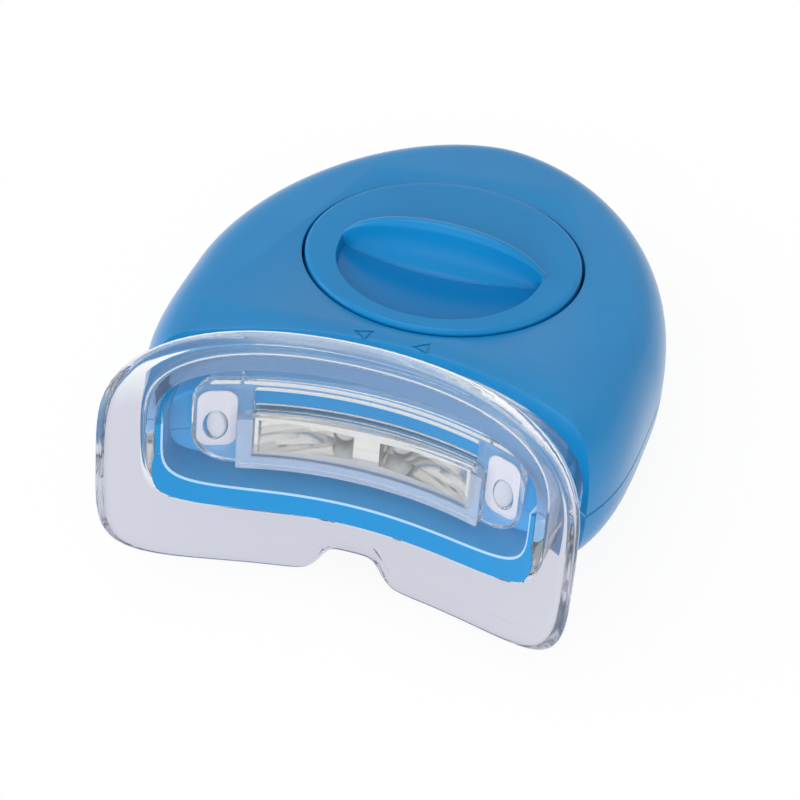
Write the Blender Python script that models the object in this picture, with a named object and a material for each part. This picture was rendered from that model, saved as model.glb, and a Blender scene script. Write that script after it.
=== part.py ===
# Handheld teeth whitening lamp: a two-part case with a clear mouthpiece and a bayonet battery cover.
# Design frame, in metres: the cover's axis is the line x = 0, y = 0, the case's lower face is z = 0,
# the mouthpiece points to -Y and the battery cover to +Z. One empty shifts all of it to the part's frame.
import bpy
import bmesh
import math
from mathutils import Matrix, Vector

# Clearances
clearance = 0.0003          # between pieces that seat on each other
tight_gap = 0.0002          # between stacked thin pieces
overrun = 0.0010            # how far a cutter passes a face
weld = 0.000002             # corners closer than this are one
flat_angle = 0.2            # faces turned less than this from each other are one

# Coin cells and their compartment
cell_radius = 0.0100
cell_thickness = 0.0032
contact_thickness = 0.00025
contact_width = 0.0036
contact_rise = 0.0004
pocket_wall = 0.0009
pocket_height = 0.0048
floor_thickness = 0.0010
well_wall = 0.0012

# Fasteners
screw_head_radius = 0.0020
screw_head_height = 0.0014
screw_shank_radius = 0.0011
screw_slot_depth = 0.0006
screw_slot_width = 0.0006
shell_screw_angles = (90.0, 210.0, 330.0)
boss_wall = 0.0013

# Battery cover
cover_margin = 0.0012       # from the screw heads out to the cover's edge
cover_plate = 0.0021        # full thickness of the plate
cover_proud = 0.0005        # how far it stands above the case
cover_edge_round = 0.0006
recess_depth = 0.0013       # half-moon finger recess
recess_margin = 0.0006      # the recess ends this far inside the fin's tips
recess_ahead = 0.0019       # centre of its curve, ahead of the cover's axis
recess_back = 0.0005        # its straight side, hidden under the fin
fin_half_length = 0.0134
fin_height = 0.0056         # above the recess's floor
fin_top_thickness = 0.0021
fin_foot_thickness = 0.0048
fin_front = 0.0011          # crest's front edge, ahead of the cover's axis
fin_tip_front = 0.0009      # the foot's front edge at the fin's tips
fin_bulge = 0.0026          # how much further ahead the foot stands in the middle
fin_face_shares = ((0.0, 0.0), (0.42, 0.18), (0.76, 0.46))  # hollow front face: back, up
fin_back_shares = ((0.17, 0.66), (0.5, 0.4))
skirt_wall = 0.0012
lug_height = 0.0012
lug_angle = 22.0
lug_angles = (30.0, 150.0, 270.0)
slot_play_angle = 3.0
cover_turn_angle = 24.0
seat_width = 0.0011         # step that the plate rests on
seat_height = 0.0021

# Case
wall = 0.0018
front_wall = 0.0028
shoulder_width = 0.0128     # cover's edge to the case's side
widest_ahead = 0.0080       # widest line, ahead of the cover's axis
back_margin = 0.0158        # cover's edge to the back
corner_taper = 0.0030       # how much narrower the case is at its front corners
step_front = 0.0217         # cover's axis to the step that the neck enters, on the centre line
top_round = 0.0058
top_round_height = 0.0099
bottom_round = 0.0050
front_round_share = 0.18    # the front edge's round, of the side's
back_power = 1.85
side_power = 4.0
top_power = 2.5
bottom_power = 2.65
bend_radius = 0.0425        # the dental arc that the front pieces follow

# Power button and its switch, on the lower face
button_radius = 0.0049
button_recess = 0.0003
button_lip = 0.0012
button_lip_thickness = 0.0006
button_travel = 0.0004
button_dish = 0.0004
button_behind = 0.0030      # button's axis behind the cover's axis
plunger_radius = 0.0016
plunger_length = 0.0010
switch_width = 0.0062
switch_height = 0.0015

# Circuit board and what is soldered to it
board_thickness = 0.0010
board_gap = 0.0007          # between the board and the compartment's floor
board_rim = 0.0024          # board left outside its screws
board_front = 0.0176
board_back = 0.0100
board_corner = 0.0030
tongue_half_width = 0.0080
tongue_front = 0.0205
board_screw_ahead = 0.0060
chip_length = 0.0050
chip_width = 0.0040
chip_height = 0.0014
chip_leg = 0.0009
chip_side = 0.0105
chip_behind = 0.0040
resistor_radius = 0.0009
resistor_length = 0.0036
resistor_lead = 0.0004
resistor_reach = 0.0011
resistor_side = 0.0100
resistor_behinds = (0.0022, 0.0058)

# Lamp: LEDs, reflector and window
led_radius = 0.0015
led_rim_radius = 0.0019
led_rim_thickness = 0.0007
led_straight = 0.0036
led_spread = 0.0035
led_lead = 0.0005
led_lead_spread = 0.00064
led_lead_run = 0.0016
reflector_margin = 0.0018    # window's side to the reflector's
reflector_height = 0.0052
reflector_depth = 0.0067
reflector_lip = 0.0004
reflector_rib = 0.0016      # half of the block between the lamps
reflector_floor = 0.0014
reflector_well = 0.0054     # wing's inner end, from the centre line
reflector_slope = 0.0005
window_half_width = 0.0150
window_height = 0.0070
window_drop = 0.0009        # window's centre below the nose's
window_wall = 0.0006
window_side_wall = 0.0014
window_raise = 0.0015
plate_thickness = 0.0012
ear_margin = 0.0026         # pin's centre to the plate's side
ear_below = 0.0055          # plate's lower edge below the pin
ear_round = 0.0022
ear_low_round = 0.0045
pad_height = 0.0003         # raised pad round each pin
pad_margin = 0.0006
pad_half_height = 0.0036
strip_height = 0.0013
slot_height = 0.0027
ledge_length = 0.0023       # ledge over the nose, behind the plate
ledge_slit = 0.0004         # between the ledge and the lug beside it
lug_length = 0.0012
lug_width = 0.0032
pin_margin = 0.0024         # window's side to the pin's centre
pin_rise = 0.0013
pin_half_width = 0.0012
pin_half_height = 0.0019
pin_socket = 0.0030

# Mouthpiece
neck_reach = 0.0110         # shield's front to the case's step, along the centre line
neck_wall = 0.0022          # upper and lower walls
neck_side_wall = 0.0013
neck_rim = 0.0011           # case left outside the neck's end
neck_seat = 0.0012          # depth of the groove that holds the neck
nose_reach = 0.0057         # the case's nose inside the neck
lining_gap = 0.00035        # neck to the lip that lines it
lining_wall = 0.0005
lining_high = 0.0120        # where the lip ends, above the case's lower face
lining_behind = 0.0002      # behind the shield's front
shield_half_width = 0.0282
shield_drop = 0.00895       # below the case's lower face
shield_rise = 0.0080        # above the case's upper face
shield_thickness = 0.0015
shield_bead = 0.00025
shield_edge = 0.0009
shield_power = 4.1
neck_power = 4.0
neck_side_margin = 0.0043
neck_low_margin = 0.0081
neck_high_margin = 0.0039
neck_flare = 0.0002
notch_height = 0.0040
notch_half_width = 0.0039
notch_power = 6.0

# Marks moulded into the case's top, in place of lettering
mark_size = 0.0019
mark_depth = 0.0004
mark_gap = 0.0006
mark_angles = (255.4, 279.4)  # cover closed, cover open

# Smoothness of the meshes
round_steps = 42
small_steps = 12
ring_points = 56
ring_crowd = 0.72
back_steps = 13
side_steps = 5
front_steps = 12
round_levels = 6
inner_levels = 4
bend_strips = 12

# Radial stack, from the cells outwards
pocket_inner = cell_radius + tight_gap + contact_thickness + clearance
pocket_outer = pocket_inner + pocket_wall
screw_circle = pocket_outer + clearance + screw_head_radius
cover_radius = screw_circle + screw_head_radius + cover_margin
well_radius = cover_radius + clearance
well_outer = well_radius + well_wall
seat_radius = well_radius - seat_width - clearance
skirt_outer = seat_radius - clearance
skirt_inner = skirt_outer - skirt_wall
lug_radius = well_radius - 2 * clearance
boss_radius = screw_shank_radius + clearance + boss_wall
board_screw_side = well_outer + clearance + boss_radius
case_half_width = cover_radius + shoulder_width
case_back = cover_radius + back_margin
corner_half_width = case_half_width - corner_taper

# Height stack, from the lower face upwards
button_low = button_recess
lip_low = wall + clearance
lip_high = lip_low + button_lip_thickness
plunger_low = lip_high + clearance
switch_low = plunger_low + button_travel + tight_gap
plunger_high = plunger_low + plunger_length
board_low = switch_low + switch_height + clearance
board_high = board_low + board_thickness
floor_low = board_high + board_gap
floor_high = floor_low + floor_thickness
contact_low = floor_high + tight_gap
lower_cell_low = contact_low + contact_thickness + contact_rise + tight_gap
upper_cell_low = lower_cell_low + cell_thickness + tight_gap
cover_low = upper_cell_low + cell_thickness + clearance
cover_high = cover_low + cover_plate
case_height = cover_high - cover_proud
seam = case_height - top_round_height
seat_high = cover_low - clearance
seat_low = seat_high - seat_height
lug_high = seat_low - clearance
lug_low = lug_high - lug_height
skirt_low = lug_low - clearance

# Front pieces, along the centre line; every one follows the same arc
shield_front = step_front + neck_reach
nose_front = step_front + nose_reach
plate_back = nose_front + clearance
plate_front = plate_back + plate_thickness
pane_front = plate_front + window_raise
pane_back = pane_front - plate_thickness
neck_back_half = corner_half_width - neck_rim
neck_back_low = neck_rim
neck_back_high = case_height - neck_rim
shield_low = -shield_drop
shield_high = case_height + shield_rise
neck_front_half = shield_half_width - neck_side_margin
neck_front_low = shield_low + neck_low_margin
neck_front_high = shield_high - neck_high_margin
nose_low = neck_back_low + neck_wall + clearance
nose_high = neck_back_high - neck_wall - clearance
window_centre = (nose_low + nose_high) / 2 - window_drop
pin_side = window_half_width + pin_margin
ear_half_width = pin_side + ear_margin
reflector_half_width = window_half_width - reflector_margin
reflector_front = pane_back - clearance
reflector_back = reflector_front - reflector_depth
led_rim_front = reflector_back - clearance
opening_half = reflector_half_width + clearance
opening_height = reflector_height + 2 * clearance
pin_centre = window_centre + pin_rise


def arc_drop(x):
    # how far the dental arc falls back at x
    return bend_radius - math.sqrt(bend_radius ** 2 - x ** 2)


def remove_everything():
    for obj in list(bpy.data.objects):
        bpy.data.objects.remove(obj, do_unlink=True)


def make_material(name, color, roughness, metallic=0.0, transmission=0.0):
    material = bpy.data.materials.new(name)
    material.use_nodes = True
    shader = material.node_tree.nodes["Principled BSDF"]
    shader.inputs["Base Color"].default_value = (*color, 1.0)
    shader.inputs["Roughness"].default_value = roughness
    shader.inputs["Metallic"].default_value = metallic
    shader.inputs["Transmission Weight"].default_value = transmission
    material.diffuse_color = (*color, 1.0)
    return material


def make_object(name, bm):
    bmesh.ops.recalc_face_normals(bm, faces=bm.faces)
    mesh = bpy.data.meshes.new(name)
    bm.to_mesh(mesh)
    bm.free()
    obj = bpy.data.objects.new(name, mesh)
    bpy.context.scene.collection.objects.link(obj)
    return obj


def triangulate(obj):
    # welds slivers, joins what is flat and cuts it into triangles, which a boolean cuts more surely
    bm = bmesh.new()
    bm.from_mesh(obj.data)
    bmesh.ops.remove_doubles(bm, verts=bm.verts, dist=weld)
    bmesh.ops.dissolve_degenerate(bm, edges=bm.edges, dist=weld)
    bmesh.ops.dissolve_limit(bm, angle_limit=math.radians(flat_angle), verts=bm.verts, edges=bm.edges)
    bmesh.ops.triangulate(bm, faces=bm.faces)
    loose = [edge for edge in bm.edges if not edge.link_faces]
    bmesh.ops.delete(bm, geom=loose, context="EDGES")
    bm.to_mesh(obj.data)
    bm.free()


def combine(target, tools, operation):
    # a boolean with each tool; the tools are used up
    for obj in [target] + tools:
        triangulate(obj)
    for tool in tools:
        step = target.modifiers.new(operation.lower(), "BOOLEAN")
        step.operation = operation
        step.solver = "EXACT"
        step.object = tool
    bpy.context.view_layer.update()
    seen = target.evaluated_get(bpy.context.evaluated_depsgraph_get())
    mesh = bpy.data.meshes.new_from_object(seen)
    target.modifiers.clear()
    target.data = mesh
    triangulate(target)
    for tool in tools:
        bpy.data.objects.remove(tool, do_unlink=True)
    return target


def finish(obj, material, parent, smooth_angle=35.0):
    mesh = obj.data
    mesh.materials.clear()
    mesh.materials.append(material)
    mesh.shade_smooth()
    mesh.set_sharp_from_angle(angle=math.radians(smooth_angle))
    obj.parent = parent
    if parent.parent:
        # the mesh is drawn in the design frame, so it is drawn back from the joint's empty
        mesh.transform(Matrix.Translation(-parent.location))
    return obj


def loft(rings, closed=False):
    # skins rings of equal count; capped at both ends, or closed into a loop
    bm = bmesh.new()
    rows = [[bm.verts.new(point) for point in ring] for ring in rings]
    count = len(rows[0])
    pairs = list(zip(rows, rows[1:]))
    if closed:
        pairs.append((rows[-1], rows[0]))
    else:
        bm.faces.new(rows[0])
        bm.faces.new(rows[-1])
    for low, high in pairs:
        for i in range(count):
            j = (i + 1) % count
            bm.faces.new((low[i], low[j], high[j], high[i]))
    return bm


def turned(profile, centre=(0, 0), steps=round_steps):
    # revolves a (radius, height) outline about a vertical axis; flat ends are filled where it opens there
    bm = bmesh.new()
    corners = [bm.verts.new((radius, 0, height)) for radius, height in profile]
    for pair in zip(corners, corners[1:]):
        bm.edges.new(pair)
    if profile[0] == profile[-1]:
        bmesh.ops.remove_doubles(bm, verts=corners, dist=clearance / 100)
    bmesh.ops.spin(bm, geom=bm.verts[:] + bm.edges[:], cent=(0, 0, 0), axis=(0, 0, 1), angle=math.tau,
                   steps=steps, use_merge=True)
    bmesh.ops.holes_fill(bm, edges=[edge for edge in bm.edges if edge.is_boundary], sides=0)
    bmesh.ops.translate(bm, verts=bm.verts, vec=(*centre, 0))
    return bm


def rod(radius, low, high, centre=(0, 0), steps=small_steps):
    # an upright cylinder, turned a third of a step so that no two counts share a corner line
    bm = turned([(radius, low), (radius, high)], (0, 0), steps)
    bmesh.ops.rotate(bm, verts=bm.verts, cent=(0, 0, 0), matrix=Matrix.Rotation(math.tau / steps / 3, 3, "Z"))
    bmesh.ops.translate(bm, verts=bm.verts, vec=(*centre, 0))
    return bm


def lay_forward(bm, at):
    # turns a piece made along +Z to point along -Y, and moves it to its place
    bmesh.ops.rotate(bm, verts=bm.verts, cent=(0, 0, 0), matrix=Matrix.Rotation(math.pi / 2, 3, "X"))
    bmesh.ops.translate(bm, verts=bm.verts, vec=at)
    return bm


def block(low, high):
    bm = bmesh.new()
    bmesh.ops.create_cube(bm, size=1)
    size = Vector(high) - Vector(low)
    middle = (Vector(high) + Vector(low)) / 2
    bmesh.ops.scale(bm, verts=bm.verts, vec=size)
    bmesh.ops.translate(bm, verts=bm.verts, vec=middle)
    return bm


def prism(outline, direction):
    # extrudes a flat outline of points along a vector
    bm = bmesh.new()
    face = bm.faces.new([bm.verts.new(point) for point in outline])
    grown = bmesh.ops.extrude_face_region(bm, geom=[face])
    moved = [item for item in grown["geom"] if isinstance(item, bmesh.types.BMVert)]
    bmesh.ops.translate(bm, verts=moved, vec=direction)
    return bm


def bend_front(bm, half_width):
    # slices a flat piece into upright strips and lays them on the dental arc
    for i in range(1, bend_strips):
        at = half_width * (2 * i / bend_strips - 1)
        bmesh.ops.bisect_plane(bm, geom=bm.verts[:] + bm.edges[:] + bm.faces[:],
                               plane_co=(at, 0, 0), plane_no=(1, 0, 0))
    for vert in bm.verts:
        vert.co.y -= arc_drop(vert.co.x)
    return bm


def rounded_outline(half_width, low, high, low_corner, high_corner, steps=5, centre=0):
    # rounded rectangle in x and z, from its lower right corner round
    points = []
    corners = ((1, low_corner, low + low_corner, -90), (1, high_corner, high - high_corner, 0),
               (-1, high_corner, high - high_corner, 90), (-1, low_corner, low + low_corner, 180))
    for side, corner, z, start in corners:
        x = centre + side * (half_width - corner)
        for i in range(steps + 1):
            turn = math.radians(start + 90 * i / steps)
            points.append((x + corner * math.cos(turn), z + corner * math.sin(turn)))
    return points


def oval_outline(x, z, half_width, half_height, steps=small_steps):
    turns = [math.tau * i / steps for i in range(steps)]
    return [(x + half_width * math.cos(turn), z + half_height * math.sin(turn)) for turn in turns]


def front_slab(outline, back, front, half_width):
    # a plate from an (x, z) outline, between two depths ahead of the cover's axis, on the dental arc
    flat = prism([(x, -back, z) for x, z in outline], (0, back - front, 0))
    return bend_front(flat, half_width)


def case_side(y):
    # half-width of the case ahead of its widest line
    share = max(0.0, -y - widest_ahead) / (step_front + arc_drop(corner_half_width) - widest_ahead)
    return case_half_width - corner_taper * share ** side_power


def case_ring(z, inset, front):
    # one level of the case: back and sides drawn in by inset, and the concave front at the given depth
    edge = corner_half_width - inset
    for _ in range(8):
        edge = case_side(-front - arc_drop(edge)) - inset
    corner_y = -front - arc_drop(edge)
    right = []
    for i in range(side_steps):
        y = corner_y + (-widest_ahead - corner_y) * i / side_steps
        right.append((case_side(y) - inset, y))
    back_reach = case_back + widest_ahead
    for i in range(back_steps):
        turn = math.pi / 2 * i / back_steps
        across = math.cos(turn) ** (2 / back_power)
        along = math.sin(turn) ** (2 / back_power)
        slope = Vector((across ** (back_power - 1) / case_half_width, along ** (back_power - 1) / back_reach))
        slope.normalize()
        right.append((case_half_width * across - slope.x * inset,
                      -widest_ahead + back_reach * along - slope.y * inset))
    left = [(-x, y) for x, y in reversed(right)]
    ring = right + [(0, case_back - inset)] + left
    for i in range(1, front_steps):
        x = edge * (2 * i / front_steps - 1)
        ring.append((x, -front - arc_drop(x)))
    return [(x, y, z) for x, y in ring]


def edge_inset(share, amount, power):
    return amount * (1 - (1 - share ** power) ** (1 / power))


def case_cup(start, end, amount, power, inner_reach):
    # half a case as a closed cup: rounded skin outside, the same curve a wall further in
    span = end - start
    outer = []
    for share in [math.sin(math.pi / 2 * i / round_levels) for i in range(round_levels + 1)]:
        inset = edge_inset(share, amount, power)
        outer.append(case_ring(start + span * share, inset, step_front - front_round_share * inset))
    inner = []
    for share in [math.sin(math.pi / 2 * i / inner_levels) for i in range(inner_levels + 1)]:
        inset = edge_inset(share, amount, power) + wall
        inner.append(case_ring(start + (inner_reach - start) * share, inset, step_front - front_wall))
    return loft(list(reversed(outer)) + inner)


def front_ring(half_width, low, high, power, share_points=ring_points):
    # evenly spaced points on a rounded oval, closer together at the lower middle where the notch is
    fine = 720
    middle, half_height = (low + high) / 2, (high - low) / 2
    dense = []
    for i in range(fine + 1):
        turn = math.tau * i / fine - math.pi / 2
        x = math.copysign(abs(math.cos(turn)) ** (2 / power), math.cos(turn))
        z = math.copysign(abs(math.sin(turn)) ** (2 / power), math.sin(turn))
        dense.append(Vector((half_width * x, middle + half_height * z)))
    run = [0.0]
    for before, after in zip(dense, dense[1:]):
        run.append(run[-1] + (after - before).length)
    points, k = [], 0
    for i in range(share_points):
        share = i / share_points
        share -= ring_crowd * math.sin(math.tau * share) / math.tau
        while run[k + 1] < share * run[-1]:
            k += 1
        mix = (share * run[-1] - run[k]) / (run[k + 1] - run[k])
        points.append(dense[k].lerp(dense[k + 1], mix))
    return points


def notched(points, low):
    # lifts the lower edge round the lip's frenulum
    lifted = []
    for point in points:
        lift = notch_height / (1 + (abs(point.x) / notch_half_width) ** notch_power)
        lifted.append(Vector((point.x, point.y + (lift if point.y < low else 0))))
    return lifted


def neck_section(behind, grow=0, walls=0):
    # the neck's outline at a depth behind the shield's front, grown, and drawn in by its walls
    share = behind / neck_reach
    half = neck_front_half + (neck_back_half - neck_front_half) * share + grow - walls * neck_side_wall
    low = neck_front_low + (neck_back_low - neck_front_low) * share - grow + walls * neck_wall
    high = neck_front_high + (neck_back_high - neck_front_high) * share + grow - walls * neck_wall
    return front_ring(half, low, high, neck_power)


def set_back(points, behind):
    # places an outline at a depth behind the shield's front, on the arc
    return [(p.x, behind - shield_front - arc_drop(p.x), p.y) for p in points]


def set_normal(points, behind):
    # the same, with the depth measured square to the arc, so the shield keeps its thickness
    return [(p.x, behind / math.sqrt(1 - (p.x / bend_radius) ** 2) - shield_front - arc_drop(p.x), p.y)
            for p in points]


def between(inner, outer, share):
    return [a.lerp(b, share) for a, b in zip(inner, outer)]


def make_mouthpiece(material, root):
    middle = (shield_low + shield_high) / 2

    def shield(inset):
        ring = front_ring(shield_half_width - inset, shield_low + inset, shield_high - inset, shield_power)
        return notched(ring, middle)

    mouth = neck_section(0, neck_flare, 1)
    collar = neck_section(shield_thickness, neck_flare)
    rim = shield(shield_edge)
    depth = neck_reach + neck_seat
    rings = [set_back(neck_section(depth, 0, 1), depth),
             set_back(neck_section(depth / 2, 0, 1), depth / 2),
             set_back(neck_section(2 * shield_thickness, 0, 1), 2 * shield_thickness),
             set_back(neck_section(shield_thickness / 2, neck_flare / 4, 1), shield_thickness / 2),
             set_normal(mouth, 0),
             set_normal(between(mouth, rim, 1 / 3), 0),
             set_normal(between(mouth, rim, 2 / 3), 0),
             set_normal(rim, 0),
             set_normal(shield(shield_edge / 2), -shield_bead),
             set_normal(shield(shield_edge / 8), shield_thickness / 5),
             set_normal(shield(0), shield_thickness / 2),
             set_normal(shield(shield_edge / 8), shield_thickness * 4 / 5),
             set_normal(shield(shield_edge / 2), shield_thickness + shield_bead),
             set_normal(rim, shield_thickness),
             set_normal(between(collar, rim, 1 / 2), shield_thickness),
             set_normal(collar, shield_thickness),
             set_back(neck_section(2 * shield_thickness, neck_flare / 4), 2 * shield_thickness),
             set_back(neck_section(depth / 2), depth / 2),
             set_back(neck_section(depth), depth)]
    return finish(make_object("mouthpiece", loft(rings, closed=True)), material, root)


def nose_tool(low, high):
    # the part of the case's nose between two levels; it narrows with the neck, under a lower top
    rings = []
    for behind in (neck_reach + front_wall / 2, neck_reach - neck_wall, neck_reach - nose_reach):
        ring = neck_section(behind, -2 * clearance, 1)
        top, foot = max(p.y for p in ring), min(p.y for p in ring)
        middle = (top + foot) / 2
        squash = (nose_high - middle) / (top - middle)
        rings.append([(p.x, behind - shield_front, middle + (p.y - middle) * (squash if p.y > middle else 1))
                      for p in ring])
    nose = make_object("nose", bend_front(loft(rings), neck_back_half))
    return combine(nose, [keep_block("keep", low, high)], "INTERSECT")


def lining_tool(low, high):
    # the nose's lip, which lines the neck's floor and sides
    depths = (lining_behind, 2 * shield_thickness, neck_reach - nose_reach, neck_reach - neck_wall,
              neck_reach + front_wall / 4)
    outer = [set_back(neck_section(behind, -lining_gap, 1), behind) for behind in depths]
    inner = [set_back(neck_section(behind, -lining_gap - lining_wall, 1), behind)
             for behind in reversed(depths)]
    lining = make_object("lining", loft(outer + inner, closed=True))
    return combine(lining, [keep_block("keep", low, high)], "INTERSECT")


def keep_block(name, low, high):
    # all that lies between two levels
    reach = case_half_width
    return make_object(name, block((-reach, -2 * reach, low), (reach, reach, high)))


def front_cutters():
    # what both halves of the case are cut with: lamp opening, neck groove and pin sockets
    half_height = opening_height / 2
    opening = make_object("opening", block(
        (-opening_half, -2 * shield_front, window_centre - half_height),
        (opening_half, front_wall + overrun - step_front, window_centre + half_height)))
    depth = neck_reach + neck_seat + clearance
    ahead = neck_reach - neck_wall
    groove = make_object("groove", loft([
        set_back(neck_section(ahead, clearance), ahead), set_back(neck_section(depth, clearance), depth),
        set_back(neck_section(depth, -clearance, 1), depth),
        set_back(neck_section(ahead, -clearance, 1), ahead)], closed=True))
    sockets = []
    for side in (-1, 1):
        outline = oval_outline(side * pin_side, pin_centre, pin_half_width + clearance,
                               pin_half_height + clearance)
        hole = prism([(x, pin_socket - nose_front - arc_drop(pin_side), z) for x, z in outline],
                     (0, -pin_socket - overrun - pin_side, 0))
        sockets.append(make_object("socket", hole))
    return [opening, groove] + sockets


def arc_block(inner, outer, low, high, centre, width, steps=8):
    # a block bent round the cover's axis, between two radii, two levels and about a middle angle
    outline = []
    for radius, sign in ((outer, 1), (inner, -1)):
        for i in range(steps + 1):
            turn = math.radians(centre + sign * width * (i / steps - 1 / 2))
            outline.append((radius * math.cos(turn), radius * math.sin(turn), low))
    return prism(outline, (0, 0, high - low))


def screw_spots():
    turns = [math.radians(angle) for angle in shell_screw_angles]
    return [(screw_circle * math.cos(turn), screw_circle * math.sin(turn)) for turn in turns]


def board_spots():
    return [(side * board_screw_side, -board_screw_ahead) for side in (-1, 1)]


def mark_cutter(angle):
    # a small triangle that points at the cover, sunk into the case's top
    turn = math.radians(angle)
    out = Vector((math.cos(turn), math.sin(turn)))
    across = Vector((-out.y, out.x))
    tip = out * (well_radius + mark_gap)
    foot = tip + out * mark_size
    half = across * mark_size / 2
    low = case_height - mark_depth
    return prism([(p.x, p.y, low) for p in (tip, foot + half, foot - half)], (0, 0, mark_depth + overrun))


def make_battery_side_shell(material, root):
    start = seam + clearance / 2
    cup = make_object("battery_side_shell", case_cup(start, case_height, top_round, top_power,
                                                     case_height - wall))
    well = make_object("well", rod(well_outer, floor_low, case_height - wall / 2, steps=round_steps))
    nose = nose_tool(start, case_height)
    lining = lining_tool(start, lining_high)
    combine(cup, [well, nose, lining], "UNION")
    hollow = make_object("hollow", turned([
        (well_radius, floor_high), (well_radius, seat_low), (seat_radius, seat_low),
        (seat_radius, seat_high), (well_radius, seat_high), (well_radius, case_height + overrun)]))
    combine(cup, [hollow], "DIFFERENCE")
    sunk = floor_thickness / 2
    pocket = make_object("pocket", turned([
        (pocket_inner, floor_high - sunk), (pocket_outer, floor_high - sunk),
        (pocket_outer, floor_high + pocket_height), (pocket_inner, floor_high + pocket_height),
        (pocket_inner, floor_high - sunk)]))
    combine(cup, [pocket], "UNION")
    cutters = front_cutters()
    for angle in lug_angles:
        slot = arc_block(seat_radius - overrun, lug_radius + clearance, seat_low - overrun,
                         seat_high + overrun, angle + cover_turn_angle, lug_angle + 2 * slot_play_angle)
        cutters.append(make_object("lug_slot", slot))
    for spot in screw_spots():
        cutters.append(make_object("screw_hole", rod(screw_shank_radius + clearance, floor_low - overrun,
                                                     floor_high + overrun, spot)))
    half = contact_width / 2 + clearance
    for x in (-pocket_inner, pocket_inner - contact_thickness - 2 * clearance):
        cutters.append(make_object("contact_slot", block(
            (x, -half, floor_low - overrun),
            (x + contact_thickness + 2 * clearance, half, floor_high + overrun))))
    for angle in mark_angles:
        cutters.append(make_object("mark", mark_cutter(angle)))
    combine(cup, cutters, "DIFFERENCE")
    return finish(cup, material, root)


def make_button_side_shell(material, root):
    end = seam - clearance / 2
    cup = make_object("button_side_shell", case_cup(end, 0, bottom_round, bottom_power, wall))
    additions = [nose_tool(-overrun, end), lining_tool(-overrun, end)]
    for spot in screw_spots():
        additions.append(make_object("boss", rod(boss_radius, wall / 2, floor_low - clearance, spot)))
    for spot in board_spots():
        additions.append(make_object("boss", rod(boss_radius, wall / 2, board_low - clearance, spot)))
    combine(cup, additions, "UNION")
    cutters = front_cutters()
    for spot in screw_spots() + board_spots():
        cutters.append(make_object("bore", rod(screw_shank_radius + clearance, wall + clearance,
                                               floor_low + overrun, spot, small_steps - 3)))
    cutters.append(make_object("button_hole", rod(button_radius + clearance, -overrun, wall + overrun,
                                                  (0, button_behind), round_steps // 2)))
    combine(cup, cutters, "DIFFERENCE")
    return finish(cup, material, root)


def fin_section(x):
    # the fin's outline across the cover at x: hollow front face, rounded crest, spread foot behind
    share = x / fin_half_length
    bulge = 1 - share ** 2
    narrow = bulge ** (1 / 2)
    base = cover_high - recess_depth
    foot = (cover_low + base) / 2
    rise = fin_height * narrow
    front_foot = -fin_tip_front - fin_bulge * bulge
    front = -fin_front * (2 + bulge) / 3
    top = fin_top_thickness * (1 + 4 * narrow) / 5
    back_foot = fin_foot_thickness * (1 + 5 * narrow) / 6
    round_off = top / 2
    points = [(front_foot, foot)]
    for back, up in fin_face_shares:
        points.append((front_foot + (front - front_foot) * back, base + rise * up))
    for i in range(7):
        turn = math.pi * (1 - i / 6)
        points.append((front + round_off + round_off * math.cos(turn),
                       base + rise - round_off * (1 - math.sin(turn)) * (1 + narrow) / 2))
    for back, up in fin_back_shares:
        points.append((front + top + (back_foot - top) * back, foot + (base + rise - foot) * up))
    points.append((front + back_foot, foot))
    return [(x, y, z) for y, z in points]


def make_battery_cover(material, pivot):
    low, high, edge = cover_low, cover_high, cover_edge_round
    profile = [(skirt_inner, low), (skirt_inner, skirt_low), (skirt_outer, skirt_low),
               (skirt_outer, low), (cover_radius, low)]
    for i in range(4):
        turn = math.pi / 2 * i / 3
        profile.append((cover_radius - edge + edge * math.cos(turn), high - edge + edge * math.sin(turn)))
    cover = make_object("battery_cover", turned(profile))
    recess_radius = fin_half_length - recess_margin
    spread = math.pi + 2 * math.asin((recess_ahead - recess_back) / recess_radius)
    turns = [spread * (i / 27 - 1 / 2) - math.pi / 2 for i in range(28)]
    outline = [(recess_radius * math.cos(turn), recess_radius * math.sin(turn) - recess_ahead)
               for turn in turns]
    recess = make_object("recess", prism([(x, y, high - recess_depth) for x, y in outline],
                                         (0, 0, recess_depth + overrun)))
    combine(cover, [recess], "DIFFERENCE")
    steps = 18
    stations = [fin_half_length * math.sin(math.pi / 2 * (2 * i / steps - 1)) for i in range(1, steps)]
    tools = [make_object("fin", loft([fin_section(x) for x in stations]))]
    for angle in lug_angles:
        lug = arc_block(skirt_outer - skirt_wall / 2, lug_radius, lug_low, lug_high, angle, lug_angle)
        tools.append(make_object("lug", lug))
    combine(cover, tools, "UNION")
    return finish(cover, material, pivot)


def make_cell(name, low, material, root):
    # a coin cell: the can, its rolled rim and the smaller negative cap below
    edge, cap, step = cell_thickness / 10, cell_radius * 7 / 8, cell_thickness / 16
    profile = [(cap, low), (cap + step, low + step), (cell_radius - edge, low + step),
               (cell_radius, low + step + edge), (cell_radius, low + cell_thickness - edge),
               (cell_radius - edge, low + cell_thickness)]
    return finish(make_object(name, turned(profile, steps=round_steps * 3 // 4)), material, root)


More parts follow.
